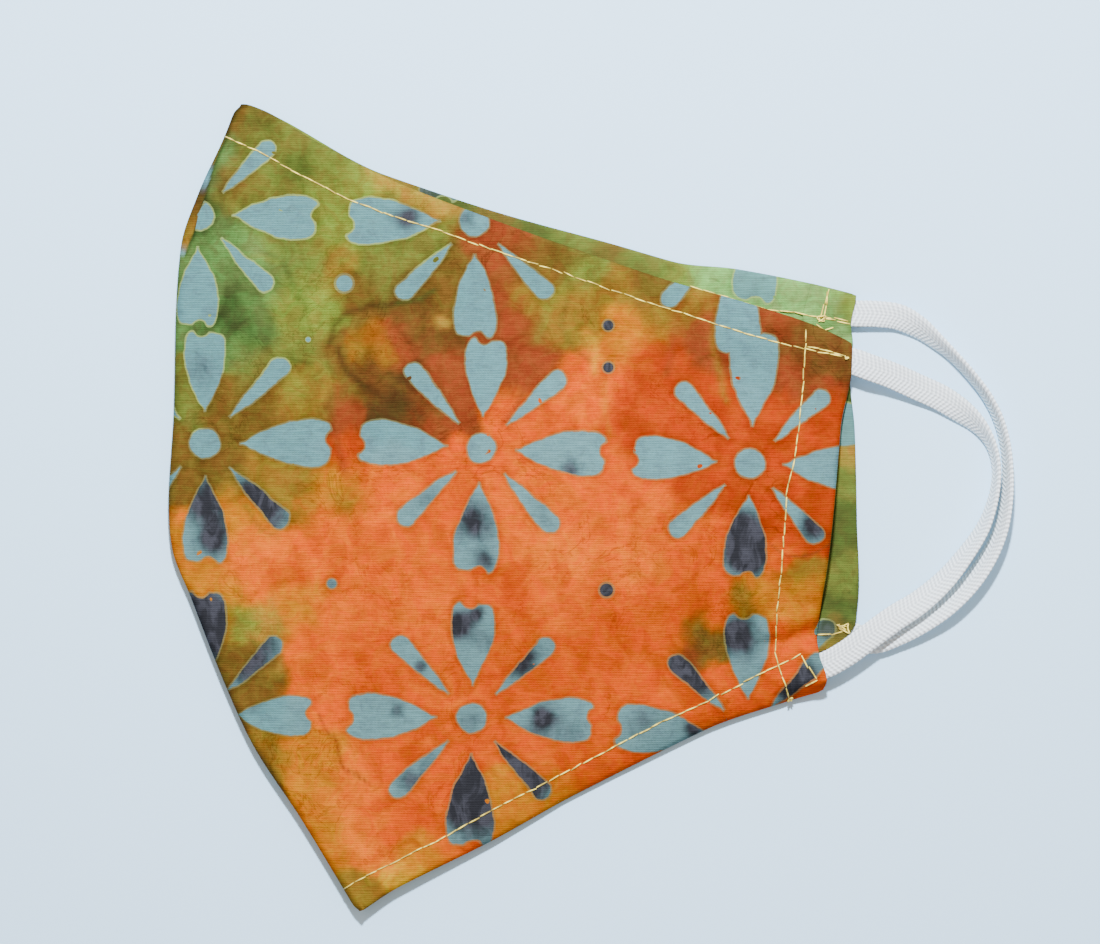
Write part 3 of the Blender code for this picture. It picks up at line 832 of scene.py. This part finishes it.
class Graph:
    """A short way to write a material's nodes."""

    def __init__(self, name, roughness, specular=0.5):
        self.material = bpy.data.materials.new(name)
        self.material.use_nodes = True
        self.tree = self.material.node_tree
        self.shader = self.tree.nodes["Principled BSDF"]
        self.shader.inputs["Roughness"].default_value = roughness
        self.shader.inputs["Specular IOR Level"].default_value = specular

    def feed(self, socket, value):
        if isinstance(value, Value):
            self.tree.links.new(value.socket, socket)
        else:
            socket.default_value = (*value, 1.0) if socket.type == "RGBA" else value

    def node(self, kind, inputs, output=0, **settings):
        made = self.tree.nodes.new(kind)
        for key, value in settings.items():
            setattr(made, key, value)
        for key, value in inputs.items():
            self.feed(made.inputs[key], value)
        return Value(self, made.outputs[output])

    def math(self, operation, *values):
        return self.node("ShaderNodeMath", dict(enumerate(values)), operation=operation)

    def vector(self, operation, *values):
        return self.node("ShaderNodeVectorMath", dict(enumerate(values)), operation=operation)

    def scale(self, colour, share):
        return self.node("ShaderNodeVectorMath", {0: colour, "Scale": share}, operation="SCALE")

    def smooth(self, value, low, high, to_low=0.0, to_high=1.0):
        inputs = dict(enumerate((value, low, high, to_low, to_high)))
        return self.node("ShaderNodeMapRange", inputs, interpolation_type="SMOOTHSTEP")

    def mix(self, share, first, second):
        return self.node("ShaderNodeMix", {"Factor": share, 6: first, 7: second}, 2, data_type="RGBA")

    def noise(self, vector, scale, detail=2.0, rough=0.5, distortion=0.0, output="Fac"):
        inputs = {"Vector": vector, "Scale": scale, "Detail": detail, "Roughness": rough}
        return self.node("ShaderNodeTexNoise", {**inputs, "Distortion": distortion}, output)

    def uv(self, name):
        return self.node("ShaderNodeUVMap", {}, "UV", uv_map=name)

    def attribute(self, name, output):
        return self.node("ShaderNodeAttribute", {}, output, attribute_name=name)

    def stretch(self, vector, x, y):
        return self.node("ShaderNodeMapping", {"Vector": vector, "Scale": (x, y, 1.0)})

    def length(self, x, y):
        return self.math("SQRT", x * x + y * y)

    def parts(self, vector):
        first = self.node("ShaderNodeSeparateXYZ", {0: vector})
        return first, Value(self, first.socket.node.outputs[1])

    def waves(self, value, step):
        return self.math("SINE", value * (2 * math.pi / step))

    def coat(self, colour, height, strength, distance):
        """Gives the shader its colour and a fine relief, and hands over the material."""
        relief = self.node("ShaderNodeBump", {"Height": height, "Strength": strength, "Distance": distance})
        self.feed(self.shader.inputs["Base Color"], colour)
        self.feed(self.shader.inputs["Normal"], relief)
        return self.material


def width_curve(graph, value, points):
    """A petal's half width in millimetres at a distance from the flower's centre."""
    made = graph.tree.nodes.new("ShaderNodeFloatCurve")
    curve = made.mapping.curves[0]
    for i, (at, wide) in enumerate(points):
        if i < 2:
            curve.points[i].location = (at / CURVE_REACH, wide / CURVE_TOP)
        else:
            curve.points.new(at / CURVE_REACH, wide / CURVE_TOP)
    made.mapping.update()
    graph.feed(made.inputs["Value"], value / CURVE_REACH)
    return Value(graph, made.outputs[0]) * CURVE_TOP


def flower_distance(graph, vector):
    """Distance in millimetres to the outline of an eight-petal flower, less than zero inside it."""
    x, y = graph.parts(vector)
    radius = graph.length(x, y)
    angle = graph.math("ARCTAN2", y, x)
    quarter = math.pi / 2
    lean = graph.math("FLOORED_MODULO", angle + quarter / 2, quarter) - quarter / 2
    along = radius * graph.math("COSINE", abs(lean))
    beside = radius * graph.math("SINE", abs(lean))
    side = radius * graph.math("SINE", lean)
    flank = beside - width_curve(graph, along, HEART_WIDTHS)
    heart = graph.math("SMOOTH_MAX", flank, along - side * HEART_LEAN - HEART_END, 1.8)
    heart = graph.math("MAXIMUM", heart, HEART_START - along)
    notch = NOTCH_RADIUS - graph.length(along - NOTCH_PLACE[0], side - NOTCH_PLACE[1])
    heart = graph.math("SMOOTH_MAX", heart, notch, 0.9)
    slant = abs(graph.math("FLOORED_MODULO", angle, quarter) - quarter / 2)
    along = radius * graph.math("COSINE", slant)
    beside = radius * graph.math("SINE", slant)
    slim = graph.math("MAXIMUM", beside - width_curve(graph, along, SLIM_WIDTHS), along - SLIM_END)
    slim = graph.math("MAXIMUM", slim, SLIM_START - along)
    tip = graph.length(along - SLIM_TIP, beside) - SLIM_TIP_RADIUS
    slim = graph.math("MINIMUM", slim, tip)
    petals = graph.math("MINIMUM", heart, slim)
    return graph.math("MINIMUM", petals, radius - CENTRE_RADIUS)


def wax_outline(graph, cloth, dots):
    """Distance in millimetres to the outline of the waxed shapes, less than zero inside them."""
    wander = graph.noise(cloth, 0.22, output="Color")
    wander = graph.vector("MULTIPLY_ADD", wander, (1.1, 1.1, 0.0), (-0.55, -0.55, 0.0))
    first = flower_distance(graph, graph.vector("ADD", graph.uv("flower_a"), wander))
    second = flower_distance(graph, graph.vector("ADD", graph.uv("flower_b"), wander))
    distance = graph.math("MINIMUM", first, second)
    distance = distance + (graph.noise(cloth, 1.3, 2.0, 0.6) - 0.5) * 0.28
    if dots:
        away = graph.length(*graph.parts(graph.uv("dot")))
        distance = graph.math("MINIMUM", distance, (away - 1.0) * 1.1)
    bitten = graph.smooth(graph.noise(cloth, 0.42, 1.0, 0.4), 0.735, 0.765, 0.0, 1.4)
    return distance + bitten + graph.attribute("blank", "Fac") * 3.0


def dyed_ground(graph, cloth, pool):
    """The mottled ground and the plain dye under it, from the colour of the pools."""
    hue = graph.smooth(graph.noise(cloth, 0.30, 6.0, 0.70, 0.8), 0.36, 0.66)
    redder = graph.vector("MULTIPLY", pool, (1.0, 0.84, 0.90))
    yellower = graph.vector("MULTIPLY", pool, (0.98, 1.24, 1.10))
    dye = graph.mix(hue, redder, yellower)
    cloud = graph.noise(cloth, 0.20, 5.0, 0.60, 0.7)
    ground = graph.scale(dye, graph.smooth(cloud, 0.30, 0.72, 1.22, 0.76))
    vein = graph.smooth(abs(graph.noise(cloth, 0.085, 4.0, 0.62, 1.6) - 0.53), 0.0, 0.020, 1.0, 0.0)
    vein = vein * graph.smooth(graph.noise(cloth, 0.05), 0.44, 0.60, 0.0, 0.45)
    ground = graph.mix(vein, ground, graph.scale(dye, 0.34))
    bloom = graph.smooth(graph.noise(cloth, 0.42, 5.0, 0.62, 1.2), 0.52, 0.74, 0.0, 0.40)
    return graph.mix(bloom, ground, graph.scale(dye, 1.35)), dye


def petal_colour(graph, cloth, dye, slate):
    """Pale sky blue with mist and crackle, darkened to smoky slate in patches."""
    sky = graph.mix(graph.noise(cloth, 0.16, 4.0, 0.6), SKY, PALE_SKY)
    sky = graph.mix(0.04, sky, dye)
    misty = graph.smooth(graph.noise(cloth, 0.38, 5.0, 0.66, 0.6), 0.46, 0.72, 0.0, 0.55)
    sky = graph.mix(misty, sky, WAX_GREY)
    crackle = graph.smooth(abs(graph.noise(cloth, 0.55, 3.0, 0.6, 1.2) - 0.5), 0.0, 0.03, 0.28, 0.0)
    sky = graph.mix(crackle, sky, WAX_OLIVE)
    depth = (graph.noise(cloth, 0.26, 4.0, 0.58, 0.5) - 0.5) * 0.75 + slate
    streak = graph.noise(graph.stretch(cloth, 0.35, 0.16), 1.0, 3.0, 0.6, 1.0)
    dark = graph.mix(graph.smooth(streak, 0.40, 0.62), INK, SLATE_GREY)
    return graph.mix(graph.smooth(depth, 0.12, 1.0), sky, dark)


def weave_height(graph, cloth):
    """The height of a plain weave's ribs and slubs, from about 0 to 1."""
    across, up = graph.parts(cloth)
    sway = graph.noise(graph.stretch(cloth, 0.10, 0.35), 1.0) * 1.6
    rib = graph.waves(sway + up / RIB_STEP, 1.0)
    warp = graph.waves(sway + across / WARP_STEP, 1.0)
    slub = graph.noise(graph.stretch(cloth, 0.30, 2.4), 1.0, 2.0, 0.6)
    fine = graph.noise(graph.stretch(cloth, 2.6, 1.2), 1.0, 2.0, 0.6)
    return rib * 0.20 + rib * warp * 0.16 + slub + (fine - 0.5) * 0.5


def print_material(name, worn=0.0, dots=False):
    """Batik cotton: a mottled dyed ground, pale wax-stamped flowers with slate patches, a plain weave
    painted darker in its grooves as shade.
    """
    graph = Graph(name, roughness=0.95, specular=0.012)
    cloth = graph.uv("cloth")
    distance = wax_outline(graph, cloth, dots)
    pool = graph.attribute("dye", "Color")
    ground, dye = dyed_ground(graph, cloth, pool)
    petal = petal_colour(graph, cloth, dye, graph.attribute("slate", "Fac"))
    halo = graph.smooth(distance, 1.5, 0.35, 1.0, 0.84)
    colour = graph.mix(graph.smooth(distance, 0.06, -0.12), graph.scale(ground, halo), petal)
    red, green = graph.parts(pool)
    edge_dye = graph.mix(graph.smooth(green - red * 0.6, 0.0, 0.03), RIM, PALE_RIM)
    edge_dye = graph.mix(0.12, edge_dye, graph.scale(dye, 1.4))
    rim = graph.smooth(distance, 0.34, 0.16) * graph.smooth(distance, -0.16, 0.0)
    colour = graph.mix(rim * 0.70, colour, edge_dye)
    weave = weave_height(graph, cloth)
    # Painted shade and highlight: the weave's grooves darker and its ribs lighter, with the slubs' own
    # uneven tone
    colour = graph.scale(colour, graph.smooth(weave, 0.05, 0.95, 0.76, 1.26))
    if worn:
        colour = graph.mix(worn, colour, DYES["pale_green"])
    return graph.coat(colour, weave, 0.45, 0.00010)


def elastic_material(name):
    """White braided elastic: slanting ribs on both sides of a middle line, with painted shade in the
    grooves between them.
    """
    graph = Graph(name, roughness=0.75)
    band = graph.uv("band")
    along, beside = graph.parts(band)
    rib = graph.waves(abs(beside) * BRAID_SLANT + along, BRAID_STEP / MM)
    cross = graph.waves(beside, CROSS_STEP / MM)
    braid = rib * 0.55 + cross * 0.30 + graph.noise(band, 3.0, 3.0, 0.6)
    # Painted shade: the braid's grooves darker than its ribs, with some random tone from the noise
    white = graph.mix(graph.smooth(braid, -0.2, 1.2), ELASTIC_GROOVE_SHADE, ELASTIC_PALE)
    return graph.coat(white, braid, 0.55, 0.00014)


def thread_material(name):
    """Pale yellow thread, uneven in tone."""
    graph = Graph(name, roughness=0.6)
    where = graph.node("ShaderNodeTexCoord", {}, "Object")
    tone = graph.smooth(graph.noise(where, 700.0), 0.35, 0.65)
    colour = graph.mix(tone, THREAD_DIM, THREAD_PALE)
    return graph.coat(colour, graph.noise(where, 5000.0), 0.4, 0.00004)


def floor_material(name):
    """A smooth pale bluish surface."""
    graph = Graph(name, roughness=0.9, specular=0.1)
    where = graph.node("ShaderNodeTexCoord", {}, "Object")
    tone = graph.mix(graph.noise(where, 3.0), FLOOR_DIM, FLOOR_PALE)
    return graph.coat(tone, graph.noise(where, 1500.0), 0.04, 0.00004)


def finish_piece(thing, node, material):
    thing.data.materials.append(material)
    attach(thing, "root")
    if node:
        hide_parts(node)
    return thing


# Columns and rows of the grids, closer together at the edges and the stitch lines
LEFT_ACROSS = crowded(228, ((1.0, 0.014, 5), (0.93, 0.02, 1.2), (0.0, 0.02, 3.5)))
LEFT_UP = crowded(205, ((0.0, 0.012, 6), (1.0, 0.012, 6), (0.06, 0.04, 0.9), (0.95, 0.03, 0.9)))
PLAIN_ACROSS = crowded(110, ((1.0, 0.012, 5),))
PLAIN_UP = crowded(100, ((0.0, 0.010, 6), (1.0, 0.010, 6)))

# The curl of the outer plies round to the fold at the centre seam
LEFT_TOP_LEVEL = LEVEL["left_outer_panel"] + PLY
FOLD_MIDDLE = LEFT_TOP_LEVEL / 2
FOLD_RADIUS = LEFT_TOP_LEVEL / 2 - FOLD_GAP


def round_off(distance, radius):
    """How far a rolled edge drops below its top at a distance from its end."""
    inside = np.clip(radius - distance, 0, radius)
    return radius - np.sqrt(np.clip(radius ** 2 - inside ** 2, 0, None))


def past_fold(shares):
    """The shares across from where the flat cloth begins, beside the fold's curl."""
    start = FOLD_RADIUS / HALF_WIDTH
    return np.concatenate([[start], shares[shares > start]])


def fold_columns(half, up, facing, count=9):
    """Points of the outer and inner face where the outer ply curls round, from the fold inwards."""
    begin = plan(half, [FOLD_RADIUS / HALF_WIDTH], up)[0]
    edge = plan(half, [0.0], up)[0]
    faces = ([], [])
    for turn in np.linspace(math.pi / 2, 0, count, endpoint=False):
        for face, radius in zip(faces, (FOLD_RADIUS, FOLD_RADIUS - PLY)):
            flat = begin + (edge - begin) * math.sin(turn) * radius / FOLD_RADIUS
            height = FOLD_MIDDLE + facing * (FOLD_GAP + radius * math.cos(turn))
            face.append(raised(flat, np.full(len(up), height)))
    return np.array(faces[0]), np.array(faces[1])


def raised(flat, heights):
    """Plan points with their heights."""
    return np.concatenate([flat, heights[..., None]], axis=-1)


def left_outer():
    across = past_fold(LEFT_ACROSS)
    flat = plan(LEFT, across, LEFT_UP)
    side, edge = edge_distance(LEFT, across, LEFT_UP)[1:]
    calm = np.clip((across - CALM_TO) / CALM_FADES, 0, 1)[:, None]
    firm = np.clip(calm + 0.3, 0, 1)
    tucked = 1 - clear_of_strap(LEFT, flat)
    rise = left_rise(across, LEFT_UP) + calm * uneven(flat, WRINKLES, CREASES)
    rise = rise + firm * stitch_relief(flat, LEFT_LINES)
    rise = rise - GROOVE_DEPTH * bell(near_line(flat, SEAM_LINE)[0], GROOVE_REACH)
    curl = drop(edge, EDGE_CURL) + drop(side, SIDE_CURL)
    rolled = round_off(edge, EDGE_ROUND) * firm * (0.25 + 0.75 * tucked)
    upper = raised(flat, LEFT_TOP_LEVEL + rise - curl * tucked - rolled)
    fold_outer, fold_inner = fold_columns(LEFT, LEFT_UP, 1)
    lower = np.concatenate([fold_inner, upper - UP * PLY])
    thing = sheet_object("left_outer_cloth", np.concatenate([fold_outer, upper]), lower)
    add_print(thing, LEFT_POOLS, LEFT_SLATES, LEFT_STAMPS_A, LEFT_STAMPS_B, LEFT_DOTS, True)
    return thing


def right_outer():
    flat = plan(RIGHT, past_fold(PLAIN_ACROSS), PLAIN_UP)
    lower = raised(flat, np.full(flat.shape[:-1], LEVEL["right_outer_panel"]))
    fold_outer, fold_inner = fold_columns(RIGHT, PLAIN_UP, -1)
    upper = np.concatenate([fold_inner, lower + UP * PLY])
    thing = sheet_object("right_outer_cloth", upper, np.concatenate([fold_outer, lower]))
    add_print(thing, LEFT_POOLS, LEFT_SLATES, LEFT_STAMPS_A, LEFT_STAMPS_B)
    return thing


def inner_ply(name, half, node, first, last, low=0.0, high=1.0, columns=110, rows=100, lifted=0.0):
    """A lining or a hem: a sheet at its node's level between shares of the way across and up."""
    across = first + (last - first) * crowded(columns, ((1.0, 0.012, 5),))
    up = low + (high - low) * crowded(rows, ((0.0, 0.010, 6), (1.0, 0.010, 6)))
    flat = plan(half, across, up)
    level = np.full(flat.shape[:-1], LEVEL[node] + lifted)
    if half is LEFT:
        level = level + left_rise(across, up)
    else:
        edge = edge_distance(half, across, up)[2]
        clear = clear_of_strap(half, flat)
        fallen = drop(edge, INNER_CURL) + 0.6 * round_off(edge, INNER_ROUND)
        level = level + uneven(flat, INNER_WRINKLES) + STRAP_LIFT * clear - fallen * (1 - clear)
        level = level + 0.5 * stitch_relief(flat, RIGHT_LINES)
    lower = raised(flat, level)
    thing = sheet_object(name, lower + UP * PLY, lower)
    add_print(thing, RIGHT_POOLS, RIGHT_SLATES, RIGHT_STAMPS_A, RIGHT_STAMPS_B)
    return thing


def smooth_through(along, knots, distance):
    """A row between the knots on a smooth curve through them, at a distance along it."""
    i = int(np.clip(np.searchsorted(along, distance) - 1, 0, len(along) - 2))
    step = along[i + 1] - along[i]
    before = max(i - 1, 0)
    after = min(i + 2, len(along) - 1)
    start_slope = (knots[i + 1] - knots[before]) / (along[i + 1] - along[before])
    end_slope = (knots[after] - knots[i]) / (along[after] - along[i])
    return hermite(knots[i], knots[i + 1], start_slope, end_slope, step, (distance - along[i]) / step)


def strap_path(half, route, end_height, steps):
    """Centres of an ear loop, and the directions across its width and through its thickness."""
    low_end, high_end = strap_ends(half)
    knots = []
    for up, out, height, degrees in route:
        turn = math.radians(degrees)
        half_tall = (STRAP_WIDTH * math.sin(turn) + STRAP_THICKNESS * math.cos(turn)) / 2
        x, y = low_end + (high_end - low_end) * up
        knots.append((x + out * STRAP_REACH, y, height * end_height + half_tall, turn))
    knots = np.array(knots)
    along = run_length(knots[:, :3])
    path = np.array([smooth_through(along, knots, d) for d in np.linspace(0, along[-1], steps + 1)])
    ahead = np.gradient(path[:, :3], axis=0)
    ahead /= np.linalg.norm(ahead, axis=1)[:, None]
    outward = np.stack([-ahead[:, 1], ahead[:, 0], np.zeros(len(ahead))], axis=1)
    outward /= np.linalg.norm(outward, axis=1)[:, None]
    turn = path[:, 3][:, None]
    wide = outward * np.cos(turn) + np.cross(ahead, outward) * np.sin(turn)
    return path[:, :3], wide, np.cross(ahead, wide)


def ear_loop(name, half, route, end_height, node):
    """A flat elastic band with toothed edges and slanting ribs."""
    centres, wide, thick = strap_path(half, route, end_height, LOOP_STEPS)
    along = run_length(centres)
    across = np.linspace(-1, 1, 15)
    section = [(a, 1) for a in across] + [(a, -1) for a in across[::-1]]
    count = len(section)
    vertices = []
    coords = []
    for k, centre in enumerate(centres):
        tooth = 1 + TOOTH_SHARE * math.sin(2 * math.pi * along[k] / BRAID_STEP)
        for a, face in section:
            half_thick = STRAP_THICKNESS / 2 * (1 - 0.62 * abs(a) ** 6)
            slanted = along[k] + BRAID_SLANT * abs(a) * STRAP_WIDTH / 2
            rib = RIB_HEIGHT * math.sin(2 * math.pi * slanted / BRAID_STEP)
            height = face * (half_thick * 0.9 + rib)
            vertices.append(centre + wide[k] * a * STRAP_WIDTH / 2 * tooth + thick[k] * height)
            coords.append((along[k] / MM, a * STRAP_WIDTH / 2 / MM))
    band = mesh_object(name, vertices, tube_faces(0, LOOP_STEPS + 1, count))
    work = bmesh.new()
    work.from_mesh(band.data)
    bmesh.ops.recalc_face_normals(work, faces=work.faces)
    work.to_mesh(band.data)
    work.free()
    loops = read(band.data.loops, "vertex_index", 1, int)[:, 0]
    add_map(band.data, "band", np.array(coords)[loops])
    finish_piece(band, node, ELASTIC)


def tube_faces(first, rings, sides):
    """Faces of a closed tube whose rings of points follow each other from the first point on."""
    faces = []
    for r in range(rings - 1):
        a = first + r * sides
        for i in range(sides):
            j = (i + 1) % sides
            faces.append((a + i, a + j, a + sides + j, a + sides + i))
    faces.append(tuple(first + i for i in range(sides))[::-1])
    faces.append(tuple(first + (rings - 1) * sides + i for i in range(sides)))
    return faces


def surface_height(tree, x, y):
    hit = tree.ray_cast(Vector((x, y, 0.05)), Vector((0, 0, -1)))
    return hit[0].z if hit[0] is not None else PHOTO_LEVEL


def stitch_row(line, seed):
    """The places of a row of stitches: start and end of each, a little uneven."""
    knots = place(line)
    along = run_length(knots)
    count = max(2, int(along[-1] / STITCH_STEP))
    random = np.random.default_rng(seed)
    stitches = []
    for k in range(count):
        ends = []
        for at in (k + 0.02, k + 0.98):
            at = at * along[-1] / count
            x = np.interp(at, along, knots[:, 0]) + random.normal(0, STITCH_WOBBLE)
            y = np.interp(at, along, knots[:, 1]) + random.normal(0, STITCH_WOBBLE)
            ends.append((x, y))
        stitches.append(ends)
    return stitches


def thread_mesh(name, paths, sides=6):
    """Lengths of thread as joined six-sided tubes that end in points."""
    vertices = []
    faces = []
    for path in paths:
        path = np.array(path)
        faces += tube_faces(len(vertices), len(path), sides)
        for point, ahead, share in zip(path, np.gradient(path, axis=0), np.linspace(0, 1, len(path))):
            ahead = ahead / (np.linalg.norm(ahead) + 1e-12)
            side = np.cross(ahead, UP)
            side /= np.linalg.norm(side) + 1e-12
            upward = np.cross(side, ahead)
            swell = math.sin(math.pi * min(max(share, 0.04), 0.96)) ** 0.4
            radius = THREAD / 2 * (0.35 + 0.65 * swell)
            for i in range(sides):
                angle = 2 * math.pi * i / sides
                vertices.append(point + radius * (math.cos(angle) * side + math.sin(angle) * upward))
    return mesh_object(name, vertices, faces)


def tangle(centre, radius, turns, seed, tree):
    """A short loose end of thread that curls over itself on the cloth."""
    random = np.random.default_rng(seed)
    middle = place(centre)
    phases = random.uniform(0, 2 * math.pi, 4)
    path = []
    for t in np.linspace(0, 1, 26):
        angle = 2 * math.pi * turns * t
        sideways = 0.75 * math.cos(angle + phases[0]) + 0.35 * math.cos(2.3 * angle + phases[1])
        upwards = 0.60 * math.sin(angle + phases[2]) + 0.35 * math.sin(1.7 * angle + phases[3])
        x, y = middle + radius * np.array([sideways, upwards])
        path.append((x, y, surface_height(tree, x, y) + 0.00010 + 0.00030 * t * (1 - t) * 4))
    return path


def stitches_on(name, lines, cloth, seed, tangles=()):
    """Stitches on a cloth: each arches over its ply and dives into it at both ends."""
    tree = BVHTree.FromObject(cloth, bpy.context.evaluated_depsgraph_get())
    paths = [tangle(*loose_end, seed + 50 + i, tree) for i, loose_end in enumerate(tangles)]
    for number, line in enumerate(lines):
        for (x0, y0), (x1, y1) in stitch_row(line, seed + number):
            path = []
            for share in np.linspace(0, 1, 7):
                x = x0 + (x1 - x0) * share
                y = y0 + (y1 - y0) * share
                arch = math.sin(math.pi * share) * STITCH_ARCH + STITCH_LIFT
                path.append((x, y, surface_height(tree, x, y) + arch))
            paths.append(path)
    finish_piece(thread_mesh(name, paths), None, THREAD_COAT)


def camera_and_light():
    """A camera straight above, framed as the photograph is, and soft daylight from its top."""
    middle = place(np.array(PHOTO_SIZE) / 2)
    width = PHOTO_SIZE[0] * METRES_PER_PIXEL
    camera = bpy.data.objects.new("camera", bpy.data.cameras.new("camera"))
    camera.data.lens = LENS
    camera.data.sensor_width = SENSOR
    camera.location = (*middle, width * LENS / SENSOR + PHOTO_LEVEL)
    bpy.context.collection.objects.link(camera)
    bpy.context.scene.camera = camera
    add_light("window", location=(0.0, 0.32, 0.50), size=0.042, energy=11.1, colour=(0.95, 0.985, 1.08))
    world = bpy.data.worlds.new("studio")
    bpy.context.scene.world = world
    world.use_nodes = True
    background = world.node_tree.nodes["Background"]
    background.inputs["Color"].default_value = WORLD_COLOUR
    background.inputs["Strength"].default_value = WORLD_STRENGTH


def add_light(name, location, size, energy, colour):
    """A square light of a side's length in metres, aimed at the mask."""
    lamp = bpy.data.objects.new(name, bpy.data.lights.new(name, "AREA"))
    lamp.data.shape = "SQUARE"
    lamp.data.size = size
    lamp.data.energy = energy
    lamp.data.color = colour
    lamp.location = location
    lamp.rotation_mode = "QUATERNION"
    lamp.rotation_quaternion = (-lamp.location).to_track_quat("-Z", "Y")
    bpy.context.collection.objects.link(lamp)


def floor():
    bpy.ops.mesh.primitive_plane_add(size=6.0, location=(0, 0, 0))
    plane = bpy.context.object
    plane.name = "floor"
    plane.data.materials.append(floor_material("pale surface"))


camera_and_light()
floor()
ELASTIC = elastic_material("white elastic")
THREAD_COAT = thread_material("pale yellow thread")
OUTER_PRINT = print_material("outer batik", dots=True)
UNDER_PRINT = print_material("under batik")
LINING_PRINT = print_material("lining batik", worn=0.10)

# Shares of the way across: the hem's inner edge, and from where to where the linings go
HEM_LINE = 1 - HEM_WIDTH / HALF_WIDTH
LINING_START = 0.018
RIGHT_LINING_END = HEM_LINE + 0.008
LEFT_LINING_END = HEM_LINE - 0.001

# The right hem lies on its lining, and a hem's cloth reaches a little past its stitches
HEM_LIFT = 0.0005

left_cloth = finish_piece(left_outer(), "left_outer_panel", OUTER_PRINT)
right_cloth = finish_piece(right_outer(), "right_outer_panel", UNDER_PRINT)
right_inner = finish_piece(
    inner_ply("right_lining_cloth", RIGHT, "right_lining", LINING_START, RIGHT_LINING_END, rows=120),
    "right_lining", LINING_PRINT,
)
left_inner = finish_piece(
    inner_ply("left_lining_cloth", LEFT, "left_lining", LINING_START, LEFT_LINING_END),
    "left_lining", LINING_PRINT,
)
right_hem = finish_piece(
    inner_ply("right_hem_cloth", RIGHT, "right_side_hem", HEM_LINE, 1.0, 0.0, 1.0, 40, 130, HEM_LIFT),
    "right_side_hem", LINING_PRINT,
)
left_hem = finish_piece(
    inner_ply("left_hem_cloth", LEFT, "left_side_hem", HEM_LINE, 1.0, 0.16, 0.89, 24, 90),
    "left_side_hem", LINING_PRINT,
)

ear_loop("left_elastic", LEFT, LEFT_ROUTE, LEFT_END_HEIGHT, "left_ear_loop")
ear_loop("right_elastic", RIGHT, RIGHT_ROUTE, RIGHT_END_HEIGHT, "right_ear_loop")
stitches_on("left_stitches", (*LEFT_LINES, LEFT_TOP_BACK_STITCH), left_cloth, 11, LEFT_TANGLES)
stitches_on("right_lining_stitches", (RIGHT_TOP_STITCH[:5],), right_inner, 31)
stitches_on("right_hem_stitches", (
    RIGHT_TOP_STITCH[4:], RIGHT_TOP_BACK_STITCH, RIGHT_SIDE_STITCH, RIGHT_SIDE_STITCH_BACK,
    RIGHT_HEM_STITCH, RIGHT_CORNER_STITCH,
), right_hem, 41, RIGHT_TANGLES)
